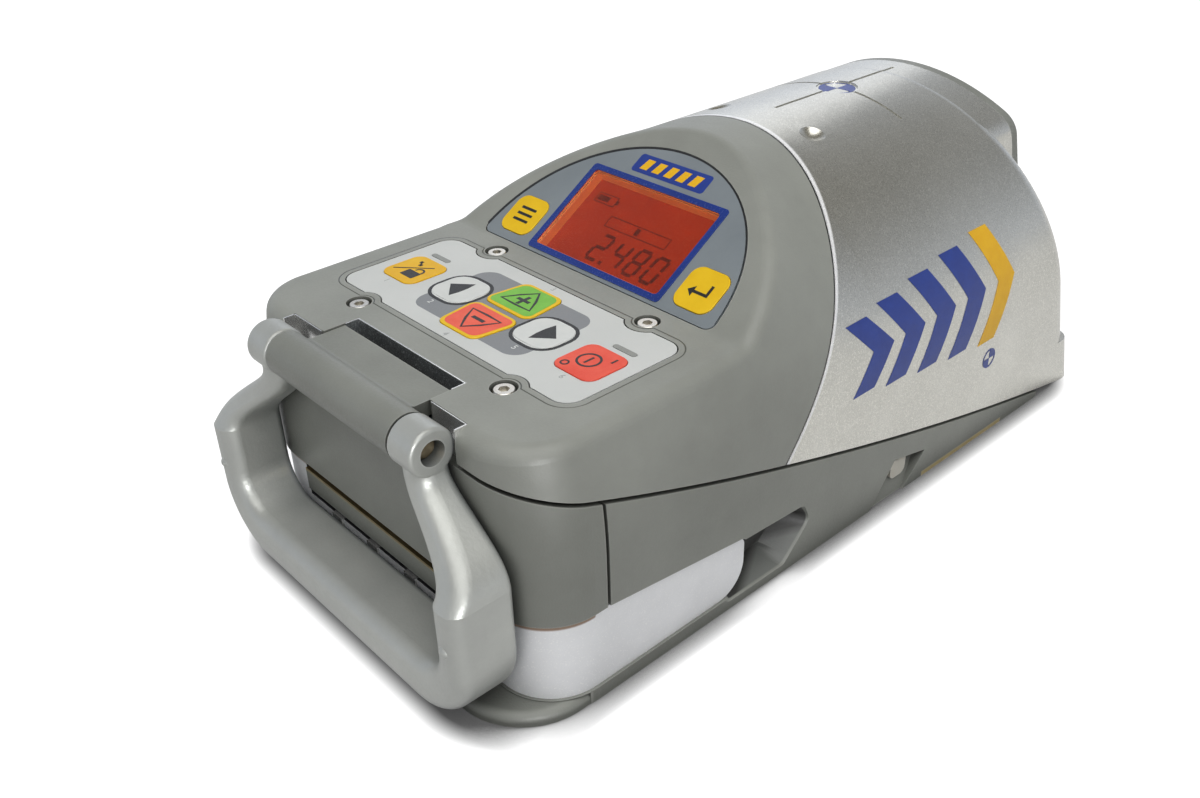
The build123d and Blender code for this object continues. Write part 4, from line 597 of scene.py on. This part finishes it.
# %% Mould the keys
KEY_COLOURS = {
    "key_lock": ("amber_silicone", "#F0B81C", "#F8C628"),
    "key_power": ("red_silicone", "#F0523E", "#FA6650"),
    "key_menu": ("yellow_silicone", "#F2C312", "#FACD1C"),
    "key_left": ("white_silicone", "#D9DCD9", "#E4E6E3"),
}
for key, (name, dark, light) in KEY_COLOURS.items():
    # Moulded silicone: dull, with a soft broad sheen.
    silicone = surface(name, dark, light, 6, 0.4, 0.015, (0.42, 0.58), sockets={"IOR": 1.42})
    dress(silicone, key)
dress(bpy.data.materials["white_silicone"], "key_right")
dress(bpy.data.materials["yellow_silicone"], "key_enter", "key_plus", "key_minus")

# %% [markdown]
# ## Display
# Behind a tinted window sits a liquid-crystal panel with a red-orange backlight. The
# window is flush with a blue plastic frame. The panel gives off a little light of its own, since
# without it a dark recess under tinted glass would read as brown.

# %% Fit the display
# Glossy blue moulding: a sharp small highlight on deep colour.
dress(surface("glossy_blue_abs", "#1B3480", "#213D92", 12, 0.6, 0.01, (0.18, 0.3),
              worn="#4C66B4", worn_mm=0.3), "display_bezel")

# Backlit liquid crystal: an even red-orange glow with a faint cloudiness.
dress(surface("backlit_liquid_crystal", "#9C3A14", "#AE4A1B", 14, 0.5, 0.004, (0.2, 0.3),
              sockets={"Emission Color": linear("#AE471A"), "Emission Strength": 0.4}), "lcd_module")

# Tinted acrylic: clear and glossy, passing mostly red light.
dress(surface("amber_tinted_acrylic", "#E9A26C", "#F0AE78", 20, 1.0, 0.002, (0.05, 0.09),
              sockets={"Transmission Weight": 1.0, "IOR": 1.49}), "display_window")

# Light guides: milky acrylic rods that stay grey while their lamps are off.
dress(surface("milky_acrylic", "#888A84", "#949690", 5, 0.4, 0.01, (0.25, 0.4)), "status_light_pipes")

# %% [markdown]
# ## Hardware
# Screws, pins, springs and strips are bought metal parts, and each metal is known by the way it was
# finished: turned, plated, rolled or anodised. A bare metal keeps its colour in its reflection, so it
# is fully metallic, and a coated one is less so. Turning lines would be finer than a pixel, so a fine
# grain stands in for them.

# %% Finish the metals
# Turned stainless steel: bright, with a fine grain that spreads the highlight.
dress(surface("turned_stainless_steel", "#CFCBC2", "#E2DED6", 5, 0.35, 0.02, (0.24, 0.4),
              worn="#F2F0EA", worn_mm=0.3, metal=1.0),
      "cover_screws", "base_screws", "trunnion_pins", "grade_plunger", "line_plunger")

# Oiled bronze: a dull olive brown.
dress(surface("oiled_bronze", "#6C6250", "#887C66", 5, 0.4, 0.02, (0.3, 0.45), metal=1.0),
      "hinge_pin", "line_pivot")

# Bright nickel plate: nearly a mirror.
nickel_plate = surface("bright_nickel_plate", "#E2E2E0", "#EDEDEB", 8, 0.5, 0.005, (0.14, 0.24),
                       metal=0.8)
dress(nickel_plate, "latch_springs", "battery_contacts")

# Rolled brass: yellow metal, gone slightly dull in patches.
dress(surface("rolled_brass", "#94835C", "#AE9D76", 7, 0.4, 0.01, (0.3, 0.46),
              worn="#CFC09A", worn_mm=0.3, metal=1.0), "latch_strip", "base_insert", "leg_inserts")

# Phosphated steel: dark grey with a dry, even skin.
dress(surface("phosphated_steel", "#505250", "#626462", 10, 0.4, 0.02, (0.45, 0.6),
              worn="#8E908E", worn_mm=0.4, metal=0.6), "grade_motor", "line_motor")

# Machined aluminium: pale and silky.
dress(surface("machined_aluminium", "#B8B9BA", "#C6C7C8", 16, 0.5, 0.01, (0.28, 0.42), metal=1.0),
      "chassis", "line_yoke", "panel_bracket")

# Black anodised aluminium: soft black that keeps stray light down.
dress(surface("black_anodised_aluminium", "#17181A", "#222326", 14, 0.5, 0.01, (0.36, 0.5), metal=0.5),
      "laser_barrel", "laser_module", "window_retainer")

# %% [markdown]
# ## Rubber, plastics, boards and glass
# The last group is small: the seals, the runners under the body, the blocks in the leg recesses and
# the works inside, which show only when the cap slides back or the tool is opened. They still get
# their own finishes, because a part in a library is looked at from every side.

# %% Finish the rest
# Moulded nitrile rubber: black, dull and a little dusty.
dress(surface("moulded_nitrile_rubber", "#161616", "#232322", 8, 0.5, 0.03, (0.62, 0.8)),
      "cover_gasket", "window_seal")

# Glass-filled nylon: black and faintly speckled.
dress(surface("black_glass_filled_nylon", "#1E1F20", "#2A2B2C", 10, 0.6, 0.02, (0.45, 0.6)),
      "battery_holder")

# Natural nylon: cream and waxy.
dress(surface("natural_nylon", "#CFCBBF", "#DDDACF", 9, 0.5, 0.02, (0.4, 0.55),
              sockets={"Subsurface Weight": 0.1, "Subsurface Radius": (0.002, 0.0015, 0.001)}),
      "leg_stops")

# Cast polyurethane: tan runner strips, rubbed paler along the edge.
dress(surface("cast_polyurethane", "#A9976A", "#BDAC80", 12, 0.6, 0.04, (0.45, 0.62),
              worn="#D8CBA6", worn_mm=0.6), "skid_strips")

# Solder-masked glass epoxy: translucent green with copper showing through in patches.
dress(surface("green_solder_mask", "#0E4A26", "#1B6A38", 3, 0.8, 0.02, (0.25, 0.4)),
      "main_board", "key_board", "level_sensor")

# Shrink sleeve: thin, glossy and taut.
dress(surface("blue_shrink_sleeve", "#22304E", "#2C3D62", 12, 0.6, 0.01, (0.2, 0.32)), "battery_cells")

# Coated optical glass: clear, with hardly any texture at all.
dress(surface("coated_optical_glass", "#F2F6F6", "#F8FBFB", 30, 1.0, 0.001, (0.01, 0.03),
              sockets={"Transmission Weight": 1.0, "IOR": 1.52}), "front_window", "collimator_lens")

# %% [markdown]
# ## Inks, and how a print is made
# Marks on keys and overlays are screen prints: a film of ink with a crisp edge, a few hundredths of
# a millimetre thick. They could be drawn in the materials, but a key then needs its own copy of one.
# A thin solid film is simple to place, moves with its key and keeps its edge in any view. Each mark
# is drawn flat in millimetres, pushed up to its thickness and laid on its plane.

# %% Mix the inks
def screen_ink(name, dark, light, patch_mm=4, rough=(0.4, 0.55)):
    """Screen ink: flat colour with slight pinholes from the mesh."""
    return surface(name, dark, light, patch_mm, 0.35, 0.008, rough)


# Display segments: dark and slightly glossy, as they lie in the glass.
segment = surface("dark_crystal_segment", "#7A2A10", "#843214", 5, 0.5, 0.002, (0.25, 0.35))
INKS = {
    "black": (screen_ink("black_screen_ink", "#17181A", "#222326"), "dark_plastic"),
    "grey": (screen_ink("grey_screen_ink", "#A9ACAA", "#B3B6B4"), "membrane"),
    "yellow": (screen_ink("yellow_screen_ink", "#F5B90F", "#FCC51C"), "key_yellow"),
    "blue": (screen_ink("blue_screen_ink", "#1C378C", "#22409A", 5, (0.32, 0.45)), "bezel_blue"),
    "white": (screen_ink("white_screen_ink", "#E2E4E2", "#ECEEEC"), "key_white"),
    "green": (screen_ink("green_screen_ink", "#72BE36", "#82CC44"), "key_green"),
    "red": (screen_ink("orange_red_screen_ink", "#F45A40", "#FC6B4E"), "key_orange"),
    "segment": (segment, "lcd_orange"),
}
print(f"{len(INKS)} inks")

# %% Draw flat shapes
CORNER_STEPS = 6


def plate(points, corner=0.0):
    """A flat shape through a few corner points, with its corners rounded."""
    shape = bmesh.new()
    corners = [shape.verts.new((x, y, 0)) for x, y in points]
    shape.faces.new(corners)
    if corner:
        bmesh.ops.bevel(shape, geom=corners, offset=corner, affect="VERTICES", segments=CORNER_STEPS,
                        profile=0.5, material=-1)
    return shape


def block(width, depth, corner=0.0, far_width=None):
    """A flat rectangle about the origin, or a wedge where its far side has another width."""
    near = width / 2
    far = (far_width or width) / 2
    return plate([(-near, -depth / 2), (near, -depth / 2), (far, depth / 2), (-far, depth / 2)], corner)


def rim(shape, width):
    """Keeps only the border of a flat shape."""
    shape.normal_update()
    inset = bmesh.ops.inset_region(shape, faces=shape.faces[:], thickness=width, use_boundary=True)
    middle = [face for face in shape.faces if face not in inset["faces"]]
    bmesh.ops.delete(shape, geom=middle, context="FACES")
    return shape


def sector(inner, outer, start, turn, steps=16):
    """Part of a ring or a disc: one edge spun about the origin, angles in degrees."""
    shape = bmesh.new()
    across = Vector((cos(radians(start)), sin(radians(start)), 0))
    ends = [shape.verts.new(across * radius) for radius in (inner, outer)]
    edge = shape.edges.new(ends)
    bmesh.ops.spin(shape, geom=[*ends, edge], cent=(0, 0, 0), axis=(0, 0, 1), angle=radians(turn),
                   steps=steps, use_merge=turn == 360)
    bmesh.ops.remove_doubles(shape, verts=shape.verts[:], dist=0.001)
    return shape


def at(shape, x, y, turn=0.0):
    """Turns a flat shape by some degrees and moves it."""
    bmesh.ops.transform(shape, verts=shape.verts[:],
                        matrix=Matrix.Translation((x, y, 0)) @ Matrix.Rotation(radians(turn), 4, "Z"))
    return shape


print(f"corners in {CORNER_STEPS} steps")

# %% Turn them into prints
FILM = 0.05


def film(shapes, thickness=FILM):
    """Gathers flat shapes into one bmesh and pushes them up into a thin solid film."""
    whole = bmesh.new()
    for shape in shapes:
        carrier = bpy.data.meshes.new("carrier")
        shape.to_mesh(carrier)
        shape.free()
        whole.from_mesh(carrier)
        bpy.data.meshes.remove(carrier)
    raised = bmesh.ops.extrude_face_region(whole, geom=whole.faces[:], use_keep_orig=True)["geom"]
    lifted = [part for part in raised if isinstance(part, bmesh.types.BMVert)]
    bmesh.ops.translate(whole, verts=lifted, vec=(0, 0, thickness))
    return whole


def piece(name, shape, finish, body, place=Matrix()):
    """Turns a shape in millimetres into an object in metres that rides on a body."""
    bmesh.ops.transform(shape, matrix=place @ Matrix.Scale(MM, 4), verts=shape.verts[:])
    bmesh.ops.recalc_face_normals(shape, faces=shape.faces[:])
    mesh = bpy.data.meshes.new(name)
    shape.to_mesh(mesh)
    shape.free()
    mesh.materials.append(finish)
    made = bpy.data.objects.new(name, mesh)
    bpy.context.collection.objects.link(made)
    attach(made, body)
    print(f"{name}: {len(mesh.polygons)} faces on {body}")
    return made


def stamp(name, shapes, ink, place, body="body"):
    """Prints flat shapes in one ink on a plane."""
    finish, slot = INKS[ink]
    return piece(name, film(shapes), finish, body, place)


print(f"prints {FILM} mm thick")

# %% [markdown]
# ## Key marks
# Each key tells what it does by a sign that needs no language: arrows for left and right, triangles
# on a green and a red face for grade up and down, a lock, a power ring, a menu and a return arrow.
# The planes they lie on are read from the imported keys, so a print sits on its cap to a hundredth.
# The rings round the arrows are printed on the overlay itself.

# %% Find the key planes
slope_axis = next(joint["axis"] for joint in frame["joints"] if joint["name"] == "key_menu_press")
SLOPE = atan2(slope_axis[1], -slope_axis[2])
PANEL_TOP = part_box("keypad_membrane")[1].z
PLATE_FOOT = 0.2 * MM
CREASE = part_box("display_plate")[0].y - PLATE_FOOT * cos(SLOPE)
DISPLAY_PLANE = Matrix.Translation((0, CREASE, PANEL_TOP)) @ Matrix.Rotation(SLOPE, 4, "X")
PANEL_PLANE = Matrix.Translation((0, 0, PANEL_TOP))


def key_plane(key):
    """The plane on top of a level key, with its origin at the middle of the key."""
    low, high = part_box(key)
    return Matrix.Translation(((low.x + high.x) / 2, (low.y + high.y) / 2, high.z))


def slope_key_plane(key):
    """The plane on top of a key on the leaning face."""
    to_slope = DISPLAY_PLANE.inverted()
    corners = [to_slope @ vertex.co for vertex in NODES[key].data.vertices]
    across, along, out = zip(*corners)
    middle = ((min(across) + max(across)) / 2, (min(along) + max(along)) / 2, max(out))
    return DISPLAY_PLANE @ Matrix.Translation(middle)


print(f"slope {SLOPE * 180 / pi:.1f} degrees, crease at {CREASE / MM:.1f} mm")

# %% Print the arrow keys
ARROW = [(-4.7, 0), (0.7, -4.6), (1.2, -1.5), (1.2, 1.5), (0.7, 4.6)]
ARROW_RING = (16.8, 16.4)
ARROW_RING_CORNER = 6.4
ARROW_LINE = 1.05
SURROUND_LINE = 0.4

for key, turn in (("key_left", 0), ("key_right", 180)):
    stamp(f"{key}_mark", [at(plate(ARROW), 0, 0, turn)], "black", key_plane(key), key)
    surround = key_plane(key)
    surround.translation.z = PANEL_TOP
    width, depth = ARROW_RING
    stamp(f"{key}_ring", [rim(block(width, depth, ARROW_RING_CORNER), ARROW_LINE)], "black", surround)
    inside = block(width - 2 * ARROW_LINE, depth - 2 * ARROW_LINE, ARROW_RING_CORNER - ARROW_LINE)
    stamp(f"{key}_surround", [rim(inside, SURROUND_LINE)], "white", surround)

# %% Print the grade keys
STEP_DEPTH = 14.5
STEP_WIDTHS = (19.2, 15.6)
STEP_BORDER = 1.0
STEP_CORNER = 2.2
TRIANGLE = [(-6.2, -3.6), (0, -4.0), (6.2, -3.6), (3.5, 1.3), (0, 5.4), (-3.5, 1.3)]
TRIANGLE_LINE = 0.75
SIGN_LINE = -0.6
SIGN_WIDTH = 4.8
SIGN_STROKE = 1.15
STUB = 1.8
OVERPRINT = Matrix.Translation((0, 0, FILM * MM))

for key, flip, ink in (("key_plus", 1, "green"), ("key_minus", -1, "red")):
    near, far = (side - 2 * STEP_BORDER for side in STEP_WIDTHS[::flip])
    face = block(near, STEP_DEPTH - 2 * STEP_BORDER, STEP_CORNER, far)
    stamp(f"{key}_face", [face], ink, key_plane(key), key)
    triangle = rim(plate([(x, y * flip) for x, y in TRIANGLE][::flip]), TRIANGLE_LINE)
    signs = [triangle, at(block(SIGN_WIDTH, SIGN_STROKE), 0, SIGN_LINE * flip)]
    if flip == 1:
        for side in (-1, 1):
            stub_line = SIGN_LINE + side * (SIGN_STROKE + STUB) / 2
            signs.append(at(block(SIGN_STROKE, STUB), 0, stub_line))
    stamp(f"{key}_mark", signs, "black", key_plane(key) @ OVERPRINT, key)

# %% Print the other keys
lock_signs = [
    at(block(5.4, 3.6, 0.3), 1.4, -2.6),
    at(sector(1.25, 1.85, 0, 180), 2.2, -0.3),
    at(block(0.6, 0.5), 3.75, -0.55),
    at(block(0.45, 12.0), -1.0, 0.3, -50),
    at(block(0.6, 3.2), -1.8, 3.4, 45),
    at(block(0.6, 1.3), -2.47, 4.07, -45),
    at(block(0.6, 1.3), -1.13, 2.73, -45),
]
stamp("key_lock_mark", lock_signs, "black", key_plane("key_lock"), "key_lock")

power_signs = [
    at(sector(2.7, 3.35, 0, 360, 40), -0.9, 0.2),
    at(block(0.65, 3.4), -0.9, 0.2),
    at(block(0.6, 2.2), 4.1, 4.0),
    at(sector(0.75, 1.25, 0, 360, 24), -4.4, -4.6),
]
stamp("key_power_mark", power_signs, "black", key_plane("key_power"), "key_power")

menu_signs = [at(block(6.4, 0.9, 0.2), 0, height) for height in (-2.2, 0, 2.2)]
stamp("key_menu_mark", menu_signs, "black", slope_key_plane("key_menu"), "key_menu")

enter_signs = [
    at(block(5.0, 0.9), 0.6, -1.2),
    at(block(0.9, 2.9), 2.65, 0.7),
    plate([(-3.9, -1.2), (-1.9, -2.9), (-1.9, 0.5)]),
]
stamp("key_enter_mark", enter_signs, "black", slope_key_plane("key_enter"), "key_enter")

# %% [markdown]
# ## Numbers on the overlay
# The overlay numbers its keys in faint grey or white, so that a manual can name them. Text is made as a
# font curve, turned into a mesh while it is still flat, and then treated as any other print.

# %% Number the keys
NUMBER_HEIGHT = 2.7
NUMBERS = {"1": (-37.6, -148.6), "2": (-18.0, -147.6), "3": (0, -119.6), "4": (0, -155.6),
           "5": (18.0, -147.6), "6": (37.2, -148.6)}


def numeral(text):
    """One number as a flat mesh about the origin."""
    letters = bpy.data.curves.new("numeral", "FONT")
    letters.body = text
    letters.size = NUMBER_HEIGHT
    letters.align_x = "CENTER"
    letters.align_y = "CENTER"
    writer = bpy.data.objects.new("numeral", letters)
    flat = bpy.data.meshes.new_from_object(writer)
    shape = bmesh.new()
    shape.from_mesh(flat)
    bpy.data.objects.remove(writer)
    bpy.data.curves.remove(letters)
    bpy.data.meshes.remove(flat)
    return shape


stamp("key_numbers", [at(numeral(text), *NUMBERS[text]) for text in "1346"], "grey", PANEL_PLANE)
stamp("zone_numbers", [at(numeral(text), *NUMBERS[text]) for text in "25"], "white", PANEL_PLANE)

# %% [markdown]
# ## Sheet-metal liners
# The cap's tongue drops into a slot in the cover, and the handle turns in two pockets beside it.
# Thin bent sheet lines these places against wear. A liner could be part of the cover's material, but
# its bright edge shows, so each one is a bent strip: its folded outline is drawn flat and pushed up.

# %% Bend the liners
SLOT_FRONT = -166.5
SLOT_HALF = 23.5
SLOT_DEEP = 13.0
SHEET = 0.35
EDGE_SINK = 0.05
EDGE_DEEP = 0.3
POCKET_FRONT = -177.0
POCKET_INNER = 24.4
POCKET_OUTER = 38.05
POCKET_DEEP = 12.5
POCKET_REACH = 3.6
POCKET_SINK = 0.2
SLOT_REACH = 4.2

# Speckled steel sheet: grey, oily and glittering.
speckled_steel = surface("speckled_spring_steel", "#7C8082", "#8C9092", 6, 0.5, 0.03, (0.26, 0.42),
                         metal=0.6)
sparkle(speckled_steel, 0.3, 0.25, "#C4C8CA")


def bent_strip(name, points, sink, deep, finish):
    """A sheet-metal strip of some depth, from its outline seen from above, sunk below the panel."""
    foot = Matrix.Translation((0, 0, PANEL_TOP - (sink + deep) * MM))
    return piece(name, film([plate(points)], deep), finish, "body", foot)


slot_back = SLOT_FRONT - SHEET
slot_side = SLOT_HALF - SHEET
slot_end = SLOT_FRONT - SLOT_REACH
slot_lining = [
    (SLOT_HALF, SLOT_FRONT), (-SLOT_HALF, SLOT_FRONT), (-SLOT_HALF, slot_end), (-slot_side, slot_end),
    (-slot_side, slot_back), (slot_side, slot_back), (slot_side, slot_end), (SLOT_HALF, slot_end),
]
bent_strip("slot_liner", slot_lining, EDGE_SINK + EDGE_DEEP, SLOT_DEEP, speckled_steel)
bent_strip("slot_liner_edge", slot_lining, EDGE_SINK, EDGE_DEEP, nickel_plate)
pocket_back = POCKET_FRONT - SHEET
pocket_side = POCKET_OUTER - SHEET
pocket_end = POCKET_FRONT - POCKET_REACH
pocket_lining = [
    (POCKET_INNER, POCKET_FRONT), (POCKET_INNER, pocket_back), (pocket_side, pocket_back),
    (pocket_side, pocket_end), (POCKET_OUTER, pocket_end), (POCKET_OUTER, POCKET_FRONT),
]
for side, word in ((1, "right"), (-1, "left")):
    bent_strip(f"{word}_pocket_liner", [(side * x, y) for x, y in pocket_lining], POCKET_SINK,
               POCKET_DEEP, nickel_plate)

# %% [markdown]
# ## What the display shows
# A working instrument shows its grade in large seven-segment figures, with a level bar above them
# and a battery sign. The segments are part of the glass, so they lie on the panel under the window.
# Each figure is built from seven bars that lean a little, as such displays do.

# %% Draw the display
LEAN = 0.12
FIGURE_SIZE = (5.2, 9.8)
BAR = 1.1
BAR_CORNER = 0.385
BAR_GAP = 0.3
BARS = {"a": (0, 1, 0), "g": (0, 0, 0), "d": (0, -1, 0), "f": (-1, 0.5, 1), "b": (1, 0.5, 1),
        "e": (-1, -0.5, 1), "c": (1, -0.5, 1)}
FIGURES = {"0": "abcdef", "2": "abged", "4": "fgbc", "8": "abcdefg"}
READING = {"2": -6.6, "4": 1.4, "8": 8.4, "0": 15.4}
READING_MIDDLE = 11.2
POINT = 1.2
POINT_MIDDLE = (-3.0, 6.8)
LEVEL_BAR_MIDDLE = (1.0, 19.9)
BATTERY_LINE = 26.2


def figure(digit, x, y):
    """One seven-segment figure about a middle point."""
    width, height = FIGURE_SIZE
    bars = []
    for letter in FIGURES[digit]:
        side, level, upright = BARS[letter]
        length = (height / 2 if upright else width) - BAR - BAR_GAP
        across = block(length, BAR, BAR_CORNER)
        bars.append(at(across, side * (width - BAR) / 2, level * (height - BAR) / 2, 90 * upright))
    leaning = Matrix(((1, LEAN, 0, x), (0, 1, 0, y), (0, 0, 1, 0), (0, 0, 0, 1)))
    for bar in bars:
        bmesh.ops.transform(bar, matrix=leaning, verts=bar.verts[:])
    return bars


lcd_corners = [DISPLAY_PLANE.inverted() @ vertex.co for vertex in NODES["lcd_module"].data.vertices]
LCD_TOP = max(corner.z for corner in lcd_corners)
LCD_PLANE = DISPLAY_PLANE @ Matrix.Translation((0, 0, LCD_TOP))
reading = [bar for digit, x in READING.items() for bar in figure(digit, x, READING_MIDDLE)]
reading.append(at(block(POINT, POINT), *POINT_MIDDLE))
level_bar = [at(rim(block(24.6, 3.9), 0.4), *LEVEL_BAR_MIDDLE), at(block(1.5, 2.4), *LEVEL_BAR_MIDDLE)]
battery = [at(rim(block(8.4, 3.6), 0.45), -17.4, BATTERY_LINE), at(block(0.8, 1.6), -12.75, BATTERY_LINE),
           at(block(4.6, 1.9), -18.6, BATTERY_LINE)]
stamp("display_reading", reading + level_bar + battery, "segment", LCD_PLANE)

# %% [markdown]
# ## Round the display
# Above the window a small blue plate with yellow bars is printed in two layers. Behind the window
# a pale frame with a painted glow surrounds the panel, and a thin black film paints the shadow of a
# sunken edge round the half-round plate. All three could be solids in CAD, but they only dress what
# is there, so they are drawn flat and raised.

# %% Print the small plate
TAG_X = 0.3
TAG_Y = 39.3
TAG_SIZE = (28.4, 6.5)
TAG_CORNER = 1.1
SLANTED_BAR = [(-1.9, -1.9), (0.9, -1.9), (1.9, 1.9), (-0.9, 1.9)]
SLANTED_PITCH = 4.8

stamp("blue_plate", [at(block(*TAG_SIZE, TAG_CORNER), TAG_X, TAG_Y)], "blue", DISPLAY_PLANE)
slanted = [at(plate(SLANTED_BAR), TAG_X + SLANTED_PITCH * count, TAG_Y) for count in range(-2, 3)]
stamp("yellow_bars", slanted, "yellow", DISPLAY_PLANE @ OVERPRINT)

# %% Frame the display
FRAME_SIZE = (49.8, 29.0)
FRAME_CORNER = 0.6
FRAME_WALL = 0.5
FRAME_MIDDLE = 17.8
FRAME_TOP = -1.6
FRAME_GAP = 0.06

# Moulded pale frame: its walls glow a little, as painted light for the light that would reach them
# through the tinted window.
glowing_frame = surface("pale_polycarbonate", "#E2C6AE", "#EBD2BC", 6, 0.5, 0.01, (0.3, 0.45),
                      sockets={"Emission Color": linear("#E0A47C"), "Emission Strength": 0.25})
frame_foot = LCD_TOP / MM + FRAME_GAP
frame_border = at(rim(block(*FRAME_SIZE, FRAME_CORNER), FRAME_WALL), 0, FRAME_MIDDLE)
walls = film([frame_border], FRAME_TOP - frame_foot)
piece("display_glowing_frame", walls, glowing_frame, "body",
      DISPLAY_PLANE @ Matrix.Translation((0, 0, frame_foot * MM)))

# %% Paint the rim shadow
# A thin black film along the rim of the half-round plate: a painted shadow of a sunken edge, widest
# towards its left and upper side.
PLATE_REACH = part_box("display_plate")[1].x / MM
RIM_SHADOW_INSIDE = 0.1
RIM_SHADOW_OUTSIDE = 0.45
RIM_SHADOW_START = 3
RIM_SHADOW_TURN = 174
RIM_SHADOW_SHIFT = Vector((-0.4, 0.2, 0))

rim_shadow = sector(PLATE_REACH - RIM_SHADOW_INSIDE, PLATE_REACH + RIM_SHADOW_OUTSIDE, RIM_SHADOW_START, RIM_SHADOW_TURN, 60)
for vertex in rim_shadow.verts:
    if vertex.co.length > PLATE_REACH:
        vertex.co += RIM_SHADOW_SHIFT
stamp("plate_rim_shadow", [rim_shadow], "black", DISPLAY_PLANE)

# %% [markdown]
# ## Sighting targets and the side design
# A round quadrant target marks the point over which the laser turns, on top and on both sides, so
# that it can be set under a plumb line. The sides also carry a plain decal. These films bend with the
# shell: each is drawn flat, with the way round the shell as its height, cut into narrow strips and
# then wrapped.

# %% Wrap films on the shell
low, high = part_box("front_housing")
SHELL_HALF = high.x / MM
SHELL_SPRING = high.z / MM - SHELL_HALF
STRIP = 2.5
DECAL_LIFT = 0.06

shell_mesh = NODES["front_housing"].data
shell_skin = BVHTree.FromPolygons([vertex.co for vertex in shell_mesh.vertices],
                                  [face.vertices for face in shell_mesh.polygons])


def slice_up(shape, axis, step):
    """Cuts a shape into strips across an axis, so that it can bend."""
    places = [vertex.co[axis] for vertex in shape.verts]
    normal = Vector((0, 0, 0))
    normal[axis] = 1
    for count in range(1, int((max(places) - min(places)) / step) + 1):
        everything = shape.verts[:] + shape.edges[:] + shape.faces[:]
        bmesh.ops.bisect_plane(shape, geom=everything, plane_co=normal * (min(places) + count * step),
                               plane_no=normal)


def wrapped(name, shapes, ink, side):
    """Prints flat shapes on one flank: x runs forward, y climbs from where the wall curves in."""
    finish, slot = INKS[ink]
    flat = film(shapes)
    slice_up(flat, 0, 2 * STRIP)
    slice_up(flat, 1, STRIP)
    for vertex in flat.verts:
        forward, climb, lift = vertex.co
        angle = max(climb, 0) / SHELL_HALF
        outward = Vector((side * cos(angle), 0, sin(angle)))
        start = Vector((0, forward, SHELL_SPRING + min(climb, 0))) + outward * 2 * SHELL_HALF
        skin = shell_skin.ray_cast(start * MM, -outward)[0] / MM
        vertex.co = skin + outward * (DECAL_LIFT + lift)
    return piece(name, flat, finish, "body")


print(f"shell {2 * SHELL_HALF:.0f} mm wide")

# %% Print the sides and the targets
CHEVRONS = [(-68, 10.5), (-53, 12.5), (-37.5, 14.5), (-21.5, 16.5)]
CHEVRON_ARM = 9.5
CHEVRON_SWEEP = 10
CHEVRON_MIDDLE = 16
YELLOW_CHEVRON = (-5, 18.5)
YELLOW_ARM = 9
SIDE_TARGET = (3.4, -9.8)
DISH_DEPTH = 0.6


def chevron(x, half, arm):
    """An arrow-shaped stripe that points forward."""
    tip = arm + CHEVRON_SWEEP
    shape = plate([(0, -half), (arm, -half), (tip, 0), (arm, half), (0, half), (CHEVRON_SWEEP, 0)])
    return at(shape, x, CHEVRON_MIDDLE)


def target(inner, outer, steps):
    """A ring with two opposite quarters filled in."""
    return [sector(inner, outer, 0, 360, steps), sector(0, inner, 0, 90), sector(0, inner, 180, 90)]


for side, word in ((1, "right"), (-1, "left")):
    blue_chevrons = [chevron(x, half, CHEVRON_ARM) for x, half in CHEVRONS]
    wrapped(f"{word}_blue_chevrons", blue_chevrons, "blue", side)
    wrapped(f"{word}_yellow_chevron", [chevron(*YELLOW_CHEVRON, YELLOW_ARM)], "yellow", side)
    wrapped(f"{word}_target", [at(mark, *SIDE_TARGET) for mark in target(2.9, 3.4, 32)], "blue", side)
dish = Matrix.Translation((0, 0, high.z - DISH_DEPTH * MM))
stamp("top_target", target(5.2, 5.8, 40), "blue", dish)

# %% [markdown]
# ## The end
# The prints must not make the instrument bigger than its CAD model.

# %% Finish
print("scene built")
